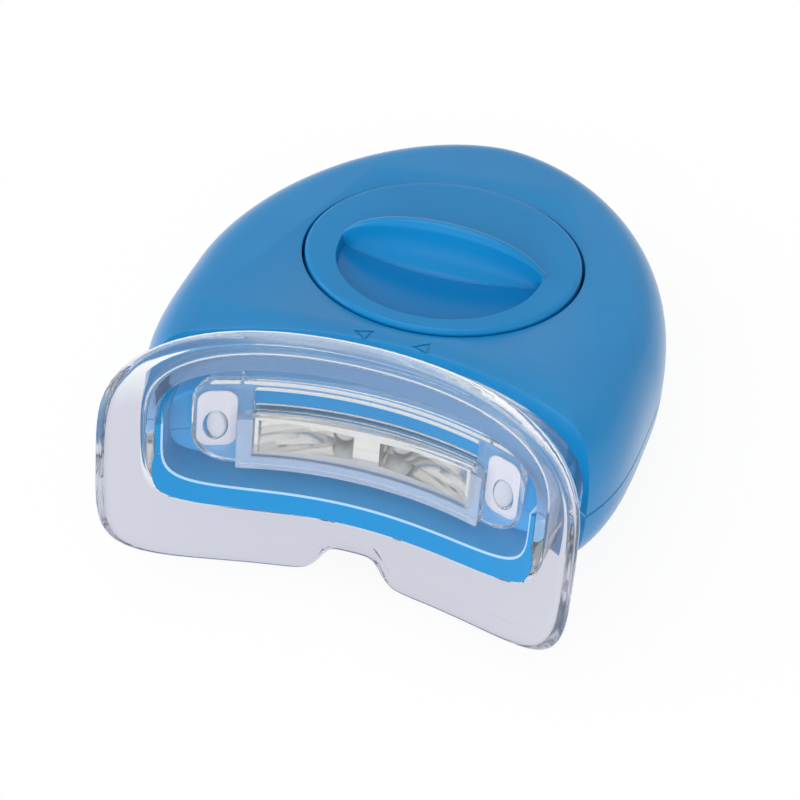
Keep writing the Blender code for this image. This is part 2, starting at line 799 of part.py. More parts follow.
def make_negative_contact(material, root):
    # a bowed leaf under the lower cell, with a tail that goes down to the board
    half, end, steps = contact_width / 2, pocket_inner - clearance, 10
    low, high = [], []
    for i in range(steps + 1):
        x = -end + (end + cell_radius / 2) * i / steps
        bow = contact_rise * math.sin(math.pi * i / steps)
        low.append((x, -half, contact_low + bow))
        high.append((x, -half, contact_low + bow + contact_thickness))
    tail = [(-end + contact_thickness, -half, board_high + tight_gap), (-end, -half, board_high + tight_gap)]
    outline = tail + high + list(reversed(low))[:-1]
    outline.append((-end + contact_thickness, -half, contact_low))
    return finish(make_object("negative_contact_spring", prism(outline, (0, contact_width, 0))),
                  material, root)


def make_positive_contact(material, root):
    # a strip up the pocket's wall, with a lip turned out over the wall's top
    x, thick, half = cell_radius + tight_gap, contact_thickness, contact_width / 2
    top = floor_high + pocket_height + tight_gap
    outline = [(x, board_high + tight_gap), (x + thick, board_high + tight_gap), (x + thick, top),
               (pocket_outer, top), (pocket_outer, top + thick), (x, top + thick)]
    strip = prism([(px, -half, pz) for px, pz in outline], (0, contact_width, 0))
    return finish(make_object("positive_contact_clip", strip), material, root)


def board_hole(radius, spot):
    return make_object("hole", rod(radius, board_low - overrun, board_high + overrun, spot))


def make_circuit_board(material, root):
    half = board_screw_side + board_rim
    depth = board_front + board_back
    outline = rounded_outline(half, -board_front, board_back, board_corner, board_corner)
    board = make_object("circuit_board", prism([(x, y, board_low) for x, y in outline],
                                               (0, 0, board_thickness)))
    tongue = make_object("tongue", block((-tongue_half_width, -tongue_front, board_low),
                                         (tongue_half_width, -board_front + depth / 8, board_high)))
    combine(board, [tongue], "UNION")
    holes = [board_hole(boss_radius + clearance, spot) for spot in screw_spots() if spot[1] < board_back]
    holes += [board_hole(screw_shank_radius + clearance, spot) for spot in board_spots()]
    combine(board, holes, "DIFFERENCE")
    return finish(board, material, root)


def make_timer_chip(material, root):
    # an eight-legged chip under the board
    high = board_low - clearance
    low = high - chip_height
    x, y, half_x, half_y = chip_side, chip_behind, chip_length / 2, chip_width / 2
    lift = chip_leg / 2
    chip = make_object("timer_chip", block((x - half_x, y - half_y, low), (x + half_x, y + half_y,
                                                                            high - lift / 2)))
    legs = []
    pitch = chip_length / 4
    for i in range(4):
        at = x + pitch * (i - 3 / 2)
        width = pitch / 4
        legs.append(make_object("leg", block((at - width, y - half_y - chip_leg, high - lift),
                                             (at + width, y + half_y + chip_leg, high))))
    combine(chip, legs, "UNION")
    return finish(chip, material, root)


def make_resistor(name, behind, material, root):
    # an axial resistor that hangs below the board on its two bent leads
    x, high = -resistor_side, board_low - tight_gap
    axis = high - resistor_radius - clearance
    half, waist = resistor_length / 2, resistor_radius * 4 / 5
    profile = [(resistor_radius * 2 / 3, -half), (resistor_radius, -half * 5 / 6),
               (resistor_radius, -half / 2), (waist, -half / 3), (waist, half / 3),
               (resistor_radius, half / 2), (resistor_radius, half * 5 / 6), (resistor_radius * 2 / 3, half)]
    bm = turned(profile, steps=small_steps)
    bmesh.ops.rotate(bm, verts=bm.verts, cent=(0, 0, 0), matrix=Matrix.Rotation(math.pi / 2, 3, "Y"))
    bmesh.ops.translate(bm, verts=bm.verts, vec=(x, behind, axis))
    body = make_object(name, bm)
    reach, lead = half + resistor_reach, resistor_lead / 2
    leads = []
    for side in (-1, 1):
        outline = [(side * half / 2, axis - lead), (side * (reach + lead), axis - lead),
                   (side * (reach + lead), high), (side * (reach - lead), high),
                   (side * (reach - lead), axis + lead), (side * half / 2, axis + lead)]
        leads.append(make_object("lead", prism([(x + px, behind - lead, pz) for px, pz in outline],
                                               (0, resistor_lead, 0))))
    combine(body, leads, "UNION")
    return finish(body, material, root)


def make_switch_body(material, root):
    half = switch_width / 2
    base = block((-half, button_behind - half, switch_low), (half, button_behind + half,
                                                             switch_low + switch_height))
    upright = [edge for edge in base.edges if abs(edge.verts[0].co.z - edge.verts[1].co.z) > clearance]
    bmesh.ops.bevel(base, geom=upright, offset=switch_width / 12, segments=2, profile=0.5, affect="EDGES",
                    material=-1)
    body = make_object("switch_body", base)
    depth = plunger_high + button_travel + tight_gap
    bore = make_object("bore", rod(plunger_radius + clearance, switch_low - overrun, depth,
                                   (0, button_behind)))
    combine(body, [bore], "DIFFERENCE")
    return finish(body, material, root)


def make_switch_plunger(material, pivot):
    edge = plunger_radius / 6
    profile = [(plunger_radius - edge, plunger_low), (plunger_radius, plunger_low + edge),
               (plunger_radius, plunger_high)]
    return finish(make_object("switch_plunger", turned(profile, (0, button_behind), small_steps)),
                  material, pivot)


def make_power_button(material, pivot):
    # a dished cap with a rounded edge, held in by the lip behind the case's wall
    edge = button_radius / 10
    profile = []
    for i in range(1, 5):
        share = i / 4
        profile.append(((button_radius - edge) * share, button_low + button_dish * (1 - share ** 2)))
    profile += [(button_radius, button_low + edge), (button_radius, lip_low),
                (button_radius + button_lip, lip_low), (button_radius + button_lip, lip_high)]
    return finish(make_object("power_button", turned(profile, (0, button_behind), round_steps // 2)),
                  material, pivot)


def make_led(name, side, material, root):
    # a round LED whose leads turn down to the board's tongue
    x = side * led_spread
    base = -led_rim_front
    profile = [(led_rim_radius, 0), (led_rim_radius, led_rim_thickness),
               (led_radius, led_rim_thickness), (led_radius, led_rim_thickness + led_straight)]
    for i in range(1, 6):
        turn = math.pi / 2 * i / 6
        profile.append((led_radius * math.cos(turn),
                        led_rim_thickness + led_straight + led_radius * math.sin(turn)))
    lamp = make_object(name, lay_forward(turned(profile, steps=small_steps + 4),
                                         (x, base + led_rim_thickness, window_centre)))
    back, lead = base + led_rim_thickness, led_lead / 2
    leads = []
    for at in (x - led_lead_spread, x + led_lead_spread):
        turn_at = back + led_lead_run
        start = back - led_rim_thickness / 2
        outline = [(start, window_centre + lead), (turn_at + lead, window_centre + lead),
                   (turn_at + lead, board_high + tight_gap), (turn_at - lead, board_high + tight_gap),
                   (turn_at - lead, window_centre - lead), (start, window_centre - lead)]
        leads.append(make_object("lead", prism([(at - lead, py, pz) for py, pz in outline],
                                               (led_lead, 0, 0))))
    combine(lamp, leads, "UNION")
    return finish(lamp, material, root)


def rectangle(x_low, x_high, z_low, z_high, y):
    return [(x_low, y, z_low), (x_high, y, z_low), (x_high, y, z_high), (x_low, y, z_high)]


def make_reflector(material, root):
    # a mirrored block with a sloping wing on each side of the lamps
    half_height = reflector_height / 2
    low, high = window_centre - half_height, window_centre + half_height
    outline = rectangle(-reflector_half_width, reflector_half_width, low, high, 0)
    bm = front_slab([(x, z) for x, y, z in outline], reflector_back, reflector_front, reflector_half_width)
    body = make_object("reflector", bm)
    mouth_y = -reflector_front - arc_drop(reflector_half_width) - overrun
    floor_y = -reflector_back - reflector_floor
    cutters = []
    for side in (-1, 1):
        inner, lip, slope = side * reflector_rib, reflector_lip, reflector_slope
        outer = side * (reflector_half_width - lip)
        wing = loft([rectangle(min(inner, outer), max(inner, outer), low + lip, high - lip, mouth_y),
                     rectangle(min(inner, side * reflector_well), max(inner, side * reflector_well),
                               low + lip + slope, high - lip - slope, floor_y)])
        cutters.append(make_object("wing", wing))
        bore = rod(led_radius + clearance, -overrun, reflector_floor + led_straight)
        cutters.append(make_object("lamp_bore", lay_forward(bore, (side * led_spread, -reflector_back,
                                                                   window_centre))))
    combine(body, cutters, "DIFFERENCE")
    return finish(body, material, root)


def make_light_window(material, root):
    # a clear plate with a pad round each pin, a ledge over the nose, and a raised pane over the reflector
    half_height = window_height / 2
    low, high = window_centre - half_height, window_centre + half_height
    strip_low = high + slot_height
    strip_high = strip_low + strip_height
    outline = rounded_outline(ear_half_width, pin_centre - ear_below, strip_high, ear_low_round, ear_round)
    plate = make_object("light_window", front_slab(outline, plate_back, plate_front, ear_half_width))
    middle = plate_back + plate_thickness / 2
    corner = window_wall / 2
    raised_outline = rounded_outline(window_half_width, low, high, corner, corner, 2)
    tools = [make_object("raised", front_slab(raised_outline, middle, pane_front, window_half_width))]
    ledge_low, ledge_high = nose_high + clearance, strip_high - pad_height / 2
    spans = [(-window_half_width, window_half_width, ledge_length)]
    lug_start = window_half_width + ledge_slit
    for side in (-1, 1):
        ends = sorted((side * lug_start, side * (lug_start + lug_width)))
        spans.append((ends[0], ends[1], lug_length))
        pad = rounded_outline(ear_margin - pad_margin, pin_centre - pad_half_height,
                              pin_centre + pad_half_height, ear_round / 2, ear_round / 2, 3, side * pin_side)
        tools.append(make_object("pad", front_slab(pad, middle, plate_front + pad_height, ear_half_width)))
    for x_low, x_high, length in spans:
        face = [(x, z) for x, y, z in rectangle(x_low, x_high, ledge_low, ledge_high, 0)]
        tools.append(make_object("ledge", front_slab(face, plate_back - length, middle, ear_half_width)))
    for tool in tools:
        combine(plate, [tool], "UNION")
    inner = window_half_width - window_side_wall
    hollow = make_object("hollow", front_slab(
        [(x, z) for x, y, z in rectangle(-inner, inner, low + window_wall, high - window_wall, 0)],
        plate_back - overrun, pane_back, inner))
    slot = make_object("slot", front_slab(
        [(x, z) for x, y, z in rectangle(-inner, inner, high + slot_height / 10, strip_low, 0)],
        plate_back - overrun, plate_front + overrun / 2, inner))
    cutters = [hollow, slot]
    for side in (-1, 1):
        outline = oval_outline(side * pin_side, pin_centre, pin_half_width + clearance,
                               pin_half_height + clearance)
        y = -plate_back - arc_drop(pin_side) + pin_side / 4
        cutters.append(make_object("pin_hole", prism([(x, y, z) for x, z in outline], (0, -pin_side / 2, 0))))
    combine(plate, cutters, "DIFFERENCE")
    return finish(plate, material, root)


def make_window_pin(name, side, material, root):
    # an oval pin from the nose's socket through the window's ear, with a rounded end
    base = pin_socket - clearance - nose_front - arc_drop(pin_side)
    tip = -plate_front - pad_height - arc_drop(pin_side)
    edge = pin_half_width / 4
    rings = []
    for y, grow in ((base, 0), (tip + edge, 0), (tip - edge / 2, -edge / 3), (tip - edge, -edge)):
        outline = oval_outline(side * pin_side, pin_centre, pin_half_width + grow, pin_half_height + grow)
        rings.append([(x, y, z) for x, z in outline])
    return finish(make_object(name, loft(rings)), material, root)


def make_screw(name, spot, seat, depth, material, root):
    # a pan-head screw with a cross slot, its head just above the face it holds
    low, high, radius = seat + tight_gap, seat + tight_gap + screw_head_height, screw_head_radius
    edge = screw_head_height / 3
    tip = screw_shank_radius / 2
    profile = [(tip, depth), (screw_shank_radius, depth + tip), (screw_shank_radius, low),
               (radius, low), (radius, high - edge), (radius - edge / 2, high - edge / 3),
               (radius - edge * 3 / 2, high)]
    screw = make_object(name, turned(profile, spot, small_steps))
    x, y = spot
    half, arm = screw_slot_width / 2, radius * 2 / 3
    cross = [(half, half), (half, arm), (-half, arm), (-half, half), (-arm, half), (-arm, -half),
             (-half, -half), (-half, -arm), (half, -arm), (half, -half), (arm, -half), (arm, half)]
    slot = make_object("slot", prism([(x + px, y + py, high - screw_slot_depth) for px, py in cross],
                                     (0, 0, screw_slot_depth + overrun)))
    combine(screw, [slot], "DIFFERENCE")
    return finish(screw, material, root)


def make_pivot(name, location, root):
    pivot = bpy.data.objects.new(name, None)
    bpy.context.scene.collection.objects.link(pivot)
    pivot.location = location
    pivot.parent = root
    return pivot


def build():
    remove_everything()
    root = bpy.data.objects.new("lamp_frame", None)
    bpy.context.scene.collection.objects.link(root)
    shield_reach = shield_front + arc_drop(shield_half_width)
    root.location = (0, (shield_reach - case_back) / 2, -shield_low)
    cover_pivot = make_pivot("cover_axis", (0, 0, cover_low), root)
    button_pivot = make_pivot("button_axis", (0, button_behind, button_low), root)
    plunger_pivot = make_pivot("plunger_axis", (0, button_behind, plunger_low), root)

    blue = make_material("blue_case", (0.02, 0.21, 0.48), 0.3)
    cover_blue = make_material("blue_cover", (0.02, 0.23, 0.52), 0.32)
    button_blue = make_material("blue_button", (0.03, 0.27, 0.58), 0.35)
    clear_mouth = make_material("clear_mouthpiece", (0.86, 0.88, 0.92), 0.06, 0.0, 0.9)
    clear_window = make_material("clear_window", (0.9, 0.92, 0.94), 0.04, 0.0, 0.9)
    clear_pin = make_material("clear_pin", (0.82, 0.84, 0.88), 0.15, 0.0, 0.6)
    mirror = make_material("mirror_chrome", (0.86, 0.86, 0.84), 0.08, 1.0)
    led_clear = make_material("led_lens", (0.9, 0.93, 1.0), 0.05, 0.0, 0.8)
    steel = make_material("cell_steel", (0.72, 0.72, 0.7), 0.28, 1.0)
    nickel = make_material("contact_nickel", (0.78, 0.76, 0.7), 0.3, 1.0)
    zinc = make_material("screw_zinc", (0.6, 0.61, 0.62), 0.35, 1.0)
    laminate = make_material("board_laminate", (0.02, 0.16, 0.06), 0.5)
    black = make_material("chip_black", (0.02, 0.02, 0.022), 0.55)
    tan = make_material("resistor_tan", (0.55, 0.4, 0.24), 0.5)
    grey = make_material("switch_grey", (0.25, 0.26, 0.27), 0.5)
    plunger_black = make_material("plunger_black", (0.03, 0.03, 0.03), 0.45)

    make_battery_side_shell(blue, root)
    make_button_side_shell(blue.copy(), root)
    make_battery_cover(cover_blue, cover_pivot)
    make_cell("battery_cell_lower", lower_cell_low, steel, root)
    make_cell("battery_cell_upper", upper_cell_low, steel.copy(), root)
    make_negative_contact(nickel, root)
    make_positive_contact(nickel.copy(), root)
    make_circuit_board(laminate, root)
    make_timer_chip(black, root)
    for i, behind in enumerate(resistor_behinds):
        make_resistor(f"resistor_{i + 1}", behind, tan.copy(), root)
    make_switch_body(grey, root)
    make_switch_plunger(plunger_black, plunger_pivot)
    make_power_button(button_blue, button_pivot)
    make_reflector(mirror, root)
    make_light_window(clear_window, root)
    for side, word in ((-1, "left"), (1, "right")):
        make_led("led_" + word, side, led_clear.copy(), root)
        make_window_pin("window_pin_" + word, side, clear_pin.copy(), root)
    make_mouthpiece(clear_mouth, root)
    for i, spot in enumerate(screw_spots()):
        make_screw(f"shell_screw_{i + 1}", spot, floor_high, wall + clearance * 3, zinc.copy(), root)
    for i, spot in enumerate(board_spots()):
        make_screw(f"board_screw_{i + 1}", spot, board_high, wall + clearance * 3, zinc.copy(), root)


build()
print("case", round(case_half_width, 5), round(case_height, 5), "seam", round(seam, 5),
      "cover", round(cover_radius, 5), "window", round(window_centre, 5))
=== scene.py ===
import math
import bpy
import bmesh
from mathutils import Matrix, Vector


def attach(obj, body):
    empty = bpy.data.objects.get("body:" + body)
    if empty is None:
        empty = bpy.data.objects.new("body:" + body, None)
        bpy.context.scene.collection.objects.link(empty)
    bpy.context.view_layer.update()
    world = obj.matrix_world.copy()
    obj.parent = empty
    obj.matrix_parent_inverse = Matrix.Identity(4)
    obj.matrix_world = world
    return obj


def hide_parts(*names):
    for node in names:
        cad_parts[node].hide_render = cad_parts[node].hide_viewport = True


# Handheld teeth whitening lamp: the look of every visible piece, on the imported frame
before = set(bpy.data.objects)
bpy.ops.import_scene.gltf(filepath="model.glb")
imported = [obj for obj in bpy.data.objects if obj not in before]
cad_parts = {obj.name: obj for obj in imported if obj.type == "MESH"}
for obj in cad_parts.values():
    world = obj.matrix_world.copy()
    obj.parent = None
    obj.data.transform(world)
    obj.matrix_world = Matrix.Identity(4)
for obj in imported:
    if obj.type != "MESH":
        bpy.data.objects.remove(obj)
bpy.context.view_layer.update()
print("frame loaded", len(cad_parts), "nodes")

# Shapes are drawn in the case's own frame: cover's axis at x = y = 0, lower face at z = 0
toFrame = Vector((0, 0.0052266, 0.00895))
archBend = 0.0425           # radius of the dental arch that every front piece follows
gap = 0.0002                # left between pieces that are fitted together
beyond = 0.1                # further out than any piece reaches


def archDrop(x):
    return archBend - math.sqrt(archBend ** 2 - x ** 2)


# Making and shaping meshes

def skinRows(rows, zones=None, ring=True, closed=False):
    # lays a grid over rows of points; a ring row meets its own start, a closed skin its first row
    wide, deep = len(rows[0]) + ring, len(rows) + closed
    bm = bmesh.new()
    bmesh.ops.create_grid(bm, x_segments=wide - 1, y_segments=deep - 1, size=1)
    zone = bm.verts.layers.float.new("zone")
    for k, vert in enumerate(bm.verts):
        row, spot = divmod(k, wide)
        vert.co = rows[row % len(rows)][spot % len(rows[0])]
        vert[zone] = zones[row % len(rows)] if zones else 0
    bmesh.ops.remove_doubles(bm, verts=bm.verts, dist=0.0000005)
    return bm


def closeEnds(bm):
    bmesh.ops.holes_fill(bm, edges=[edge for edge in bm.edges if edge.is_boundary], sides=0)
    return bm


def asObject(name, bm):
    bmesh.ops.recalc_face_normals(bm, faces=bm.faces)
    mesh = bpy.data.meshes.new(name)
    bm.to_mesh(mesh)
    bm.free()
    obj = bpy.data.objects.new(name, mesh)
    bpy.context.scene.collection.objects.link(obj)
    return obj


def applyModifiers(obj):
    bpy.context.view_layer.update()
    seen = obj.evaluated_get(bpy.context.evaluated_depsgraph_get())
    mesh = bpy.data.meshes.new_from_object(seen)
    obj.modifiers.clear()
    obj.data = mesh


def joinWith(target, tools, operation):
    # an exact boolean with each tool in turn, applied at once
    for tool in tools:
        step = target.modifiers.new("join", "BOOLEAN")
        step.operation, step.solver, step.object = operation, "EXACT", tool
    applyModifiers(target)
    for tool in tools:
        bpy.data.objects.remove(tool, do_unlink=True)
    return target


def softEdges(obj, width):
    step = obj.modifiers.new("soft edges", "BEVEL")
    step.width, step.segments, step.limit_method = width, 2, "ANGLE"
    step.angle_limit = math.radians(40)
    step.use_clamp_overlap = True
    applyModifiers(obj)


def cylinder(radius, low, high, segments):
    bm = bmesh.new()
    bmesh.ops.create_cone(bm, cap_ends=True, segments=segments, radius1=radius, radius2=radius, depth=high - low)
    bmesh.ops.translate(bm, verts=bm.verts, vec=(0, 0, (low + high) / 2))
    return bm


def layForward(bm, place):
    # turns an upright shape's top to the front, then moves it
    bmesh.ops.rotate(bm, verts=bm.verts, cent=(0, 0, 0), matrix=Matrix.Rotation(math.pi / 2, 3, "X"))
    bmesh.ops.translate(bm, verts=bm.verts, vec=place)
    return bm


def turnedShape(profile, centre=(0, 0), segments=96):
    # spins a (radius, height) line about an upright axis and fills its open ends
    bm = bmesh.new()
    corners = [bm.verts.new((radius, 0, height)) for radius, height in profile]
    for pair in zip(corners, corners[1:]):
        bm.edges.new(pair)
    bmesh.ops.spin(bm, geom=bm.verts[:] + bm.edges[:], cent=(0, 0, 0), axis=(0, 0, 1), angle=math.tau,
                   steps=segments, use_merge=True)
    closeEnds(bm)
    bmesh.ops.translate(bm, verts=bm.verts, vec=(*centre, 0))
    return bm


def plate(xLow, xHigh, zLow, zHigh, back, front, corner=0.0, taper=0.0, segments=6, topCorner=None):
    # a flat slab that faces -Y between two depths, with rounded corners and a front drawn in by taper
    bm = bmesh.new()
    bmesh.ops.create_grid(bm, x_segments=1, y_segments=1, size=0.5)
    bmesh.ops.scale(bm, verts=bm.verts, vec=(xHigh - xLow, zHigh - zLow, 1))
    corners = {1: topCorner or corner, -1: corner}
    for side, verts in [(side, [v for v in bm.verts if v.co.y * side > 0]) for side in (1, -1)]:
        if corners[side]:
            bmesh.ops.bevel(bm, geom=verts, offset=corners[side], segments=segments, profile=0.5,
                            affect="VERTICES", material=-1)
    middle = Vector(((xLow + xHigh) / 2, 0, (zLow + zHigh) / 2))
    layForward(bm, middle - Vector((0, back, 0)))
    grown = bmesh.ops.extrude_face_region(bm, geom=bm.faces[:])
    fresh = [item for item in grown["geom"] if isinstance(item, bmesh.types.BMVert)]
    bmesh.ops.translate(bm, verts=fresh, vec=(0, back - front, 0))
    if taper:
        shrink = (1 - 2 * taper / (xHigh - xLow), 1, 1 - 2 * taper / (zHigh - zLow))
        bmesh.ops.translate(bm, verts=fresh, vec=-middle)
        bmesh.ops.scale(bm, verts=fresh, vec=shrink)
        bmesh.ops.translate(bm, verts=fresh, vec=middle)
    return bm


def layOnArch(obj, halfWidth, strips):
    # slices a flat piece into upright strips and bends it along the dental arch
    bm = bmesh.new()
    bm.from_mesh(obj.data)
    for i in range(1, strips):
        at = halfWidth * (2 * i / strips - 1)
        bmesh.ops.bisect_plane(bm, geom=bm.verts[:] + bm.edges[:] + bm.faces[:], plane_co=(at, 0, 0),
                               plane_no=(1, 0, 0))
    for vert in bm.verts:
        vert.co.y -= archDrop(vert.co.x)
    bm.to_mesh(obj.data)
    bm.free()


def keepBetween(bm, low, high):
    # keeps a shape's middle between two levels
    for z, normal in ((low, (0, 0, -1)), (high, (0, 0, 1))):
        bmesh.ops.bisect_plane(bm, geom=bm.verts[:] + bm.edges[:] + bm.faces[:], plane_co=(0, 0, z),
                               plane_no=normal, clear_outer=True)
        closeEnds(bm)
    return bm


def markZone(obj, test):
    # each face's zone is what the test gives for it, in the shapes' own frame
    old = obj.data.attributes.get("zone")
    if old:
        obj.data.attributes.remove(old)
    zone = obj.data.attributes.new("zone", "FLOAT", "FACE")
    for face in obj.data.polygons:
        zone.data[face.index].value = float(test(face))


def dress(obj, material, body, replaces, smooth):
    # moves a finished piece into the frame, gives it its material and smooth shading, hangs it on its body and
    # hides the CAD nodes that it stands for
    obj.data.transform(Matrix.Translation(toFrame))
    obj.data.materials.clear()
    obj.data.materials.append(material)
    obj.data.shade_smooth()
    obj.data.set_sharp_from_angle(angle=math.radians(smooth))
    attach(obj, body)
    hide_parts(*replaces)
    return obj


# Materials

def feed(node, inputs):
    # puts a value on each named input, or a link from the output that is given
    for name, value in inputs.items():
        if isinstance(value, bpy.types.NodeSocket):
            node.id_data.links.new(value, node.inputs[name])
        else:
            node.inputs[name].default_value = value
    return node


def nodeFrom(tree, kind, inputs=(), **settings):
    node = tree.nodes.new(kind)
    for name, value in settings.items():
        setattr(node, name, value)
    return feed(node, dict(inputs))


def combine(tree, operation, a, b):
    return nodeFrom(tree, "ShaderNodeMath", {0: a, 1: b}, operation=operation).outputs[0]


def blend(tree, factor, a, b):
    mix = nodeFrom(tree, "ShaderNodeMix", {"Factor": factor, "A": a, "B": b}, data_type="RGBA")
    return mix.outputs["Result"]


def spread(tree, value, low, high, toLow=0.0, toHigh=1.0):
    return nodeFrom(tree, "ShaderNodeMapRange", {"Value": value, "From Min": low, "From Max": high,
                                                 "To Min": toLow, "To Max": toHigh}).outputs["Result"]


def noise(tree, place, scale, detail):
    inputs = {"Vector": place, "Scale": scale, "Detail": detail}
    return nodeFrom(tree, "ShaderNodeTexNoise", inputs).outputs["Fac"]


def onObject(tree):
    return nodeFrom(tree, "ShaderNodeTexCoord").outputs["Object"]


def inZone(tree):
    return nodeFrom(tree, "ShaderNodeAttribute", attribute_name="zone").outputs["Fac"]


def newMaterial(name):
    material = bpy.data.materials.new(name)
    material.use_nodes = True
    return material, material.node_tree, material.node_tree.nodes["Principled BSDF"]


def mouldedSurface():
    # fine moulding grain, faint hairline scratches and a slow change of tone, for every plastic
    tree = bpy.data.node_groups.new("mouldedSurface", "ShaderNodeTree")
    for label, value in (("Tone", (0.5, 0.5, 0.5, 1)), ("Shade", (0.4, 0.4, 0.4, 1)), ("Roughness", 0.3),
                         ("Grain", 0.03), ("Scratches", 0.05)):
        kind = "NodeSocketFloat" if isinstance(value, float) else "NodeSocketColor"
        tree.interface.new_socket(name=label, in_out="INPUT", socket_type=kind).default_value = value
    for label, kind in (("Color", "NodeSocketColor"), ("Roughness", "NodeSocketFloat"),
                        ("Height", "NodeSocketFloat")):
        tree.interface.new_socket(name=label, in_out="OUTPUT", socket_type=kind)
    given = nodeFrom(tree, "NodeGroupInput").outputs
    place = onObject(tree)
    patches = spread(tree, noise(tree, place, 70, 3), 0.35, 0.7)
    stretched = nodeFrom(tree, "ShaderNodeMapping", {"Vector": place, "Rotation": (0.2, 0.1, 0.7),
                                                     "Scale": (1, 14, 1)}).outputs["Vector"]
    hairlines = spread(tree, noise(tree, stretched, 160, 4), 0.62, 0.74)
    scratch = combine(tree, "MULTIPLY", hairlines, given["Scratches"])
    grain = combine(tree, "MULTIPLY", noise(tree, place, 2600, 2), given["Grain"])
    rough = combine(tree, "ADD", combine(tree, "ADD", given["Roughness"], scratch), grain)
    nodeFrom(tree, "NodeGroupOutput", {"Color": blend(tree, patches, given["Tone"], given["Shade"]),
                                       "Roughness": rough, "Height": combine(tree, "SUBTRACT", grain, scratch)})
    return tree


plasticGroup = mouldedSurface()


def plasticMaterial(name, tone, shade, roughness, grain, scratches, bump=0.00002, specular=0.5,
                    paintedGlow=None, sunk=None):
    material, tree, shader = newMaterial(name)
    surface = nodeFrom(tree, "ShaderNodeGroup", node_tree=plasticGroup)
    feed(surface, {"Tone": (*tone, 1), "Shade": (*shade, 1), "Roughness": roughness, "Grain": grain,
                   "Scratches": scratches})
    raised = nodeFrom(tree, "ShaderNodeBump", {"Distance": bump, "Height": surface.outputs["Height"]})
    feed(shader, {"Base Color": surface.outputs["Color"], "Roughness": surface.outputs["Roughness"],
                  "Normal": raised.outputs["Normal"], "Specular IOR Level": specular})
    if sunk:
        # painted shade: a deeper tone in the piece's zone, on the cover the recess floor in front of the fin
        feed(shader, {"Base Color": blend(tree, inZone(tree), surface.outputs["Color"], (*sunk, 1))})
    if paintedGlow:
        # painted glow: an emission in the piece's zone, its colour changing from 15 to 22 mm up; on the case it
        # stands for light that the clear wall carries to the faces round its hidden end, on the lip it is a
        # painted highlight
        below, above = paintedGlow
        height = nodeFrom(tree, "ShaderNodeSeparateXYZ", {0: onObject(tree)}).outputs["Z"]
        light = blend(tree, spread(tree, height, 0.015, 0.022), (*below, 1), (*above, 1))
        feed(shader, {"Emission Color": blend(tree, inZone(tree), (0, 0, 0, 1), light), "Emission Strength": 1})
    return material


def clearMaterial(name, clear, roughness, transmission, paintedShadeTint=None):
    # clear plastic; where the piece's zone is 1 it takes a painted shade tint, and lamps shine through it
    material, tree, shader = newMaterial(name)
    tint = blend(tree, inZone(tree), (*clear, 1), (*paintedShadeTint, 1)) if paintedShadeTint else (*clear, 1)
    surface = nodeFrom(tree, "ShaderNodeGroup", node_tree=plasticGroup)
    feed(surface, {"Roughness": roughness, "Grain": 0.02, "Scratches": 0.06, "Tone": tint, "Shade": tint})
    feed(shader, {"Base Color": surface.outputs["Color"], "Roughness": surface.outputs["Roughness"],
                  "IOR": 1.47, "Transmission Weight": transmission})
    shadowRay = nodeFrom(tree, "ShaderNodeLightPath").outputs["Is Shadow Ray"]
    passing = nodeFrom(tree, "ShaderNodeBsdfTransparent", {"Color": (0.94, 0.95, 0.97, 1)})
    choose = nodeFrom(tree, "ShaderNodeMixShader", {0: shadowRay, 1: shader.outputs[0], 2: passing.outputs[0]})
    feed(tree.nodes["Material Output"], {"Surface": choose.outputs[0]})
    return material


def metalMaterial(name, tone, shade, roughness, streak, scale):
    # metal with a fine streaked or speckled finish
    material, tree, shader = newMaterial(name)
    stretched = nodeFrom(tree, "ShaderNodeMapping", {"Vector": onObject(tree), "Scale": streak})
    finish = noise(tree, stretched.outputs["Vector"], scale, 4)
    feed(shader, {"Metallic": 1, "Base Color": blend(tree, finish, (*tone, 1), (*shade, 1)),
                  "Roughness": spread(tree, finish, 0, 1, roughness * 0.7, roughness * 1.4)})
    return material


def laminateMaterial():
    # green solder mask with straight copper tracks showing under it
    material, tree, shader = newMaterial("boardLaminate")
    tracks = nodeFrom(tree, "ShaderNodeTexBrick", {
        "Vector": onObject(tree), "Scale": 180, "Mortar Size": 0.05, "Color1": (0.012, 0.13, 0.05, 1),
        "Color2": (0.014, 0.16, 0.06, 1), "Mortar": (0.05, 0.3, 0.1, 1)})
    feed(shader, {"Base Color": tracks.outputs["Color"], "Roughness": 0.35, "Coat Weight": 0.4})
    return material


caseBlue = ((0.006, 0.21, 0.48), (0.0055, 0.195, 0.455), 0.20, 0.04, 0.05)
# painted glow round the mouthpiece's hidden end, blue below and dim above
blue = plasticMaterial("blueCase", *caseBlue, specular=0.30,
                       paintedGlow=((0.20, 0.34, 0.50), (0.10, 0.08, 0.06)))
# the lip's emission is painted light: a painted highlight on its rounded edge and a faint painted glow on its
# inner side
blueLip = plasticMaterial("blueLip", *caseBlue, specular=0.30, paintedGlow=((0.44, 0.44, 0.42),) * 2)
# painted shade on the recess floor in front of the fin
blueCover = plasticMaterial("blueCover", *caseBlue, specular=0.20, sunk=(0.004, 0.165, 0.42))
blueButton = plasticMaterial("blueButton", (0.02, 0.25, 0.56), (0.018, 0.23, 0.52), 0.35, 0.05, 0.08)
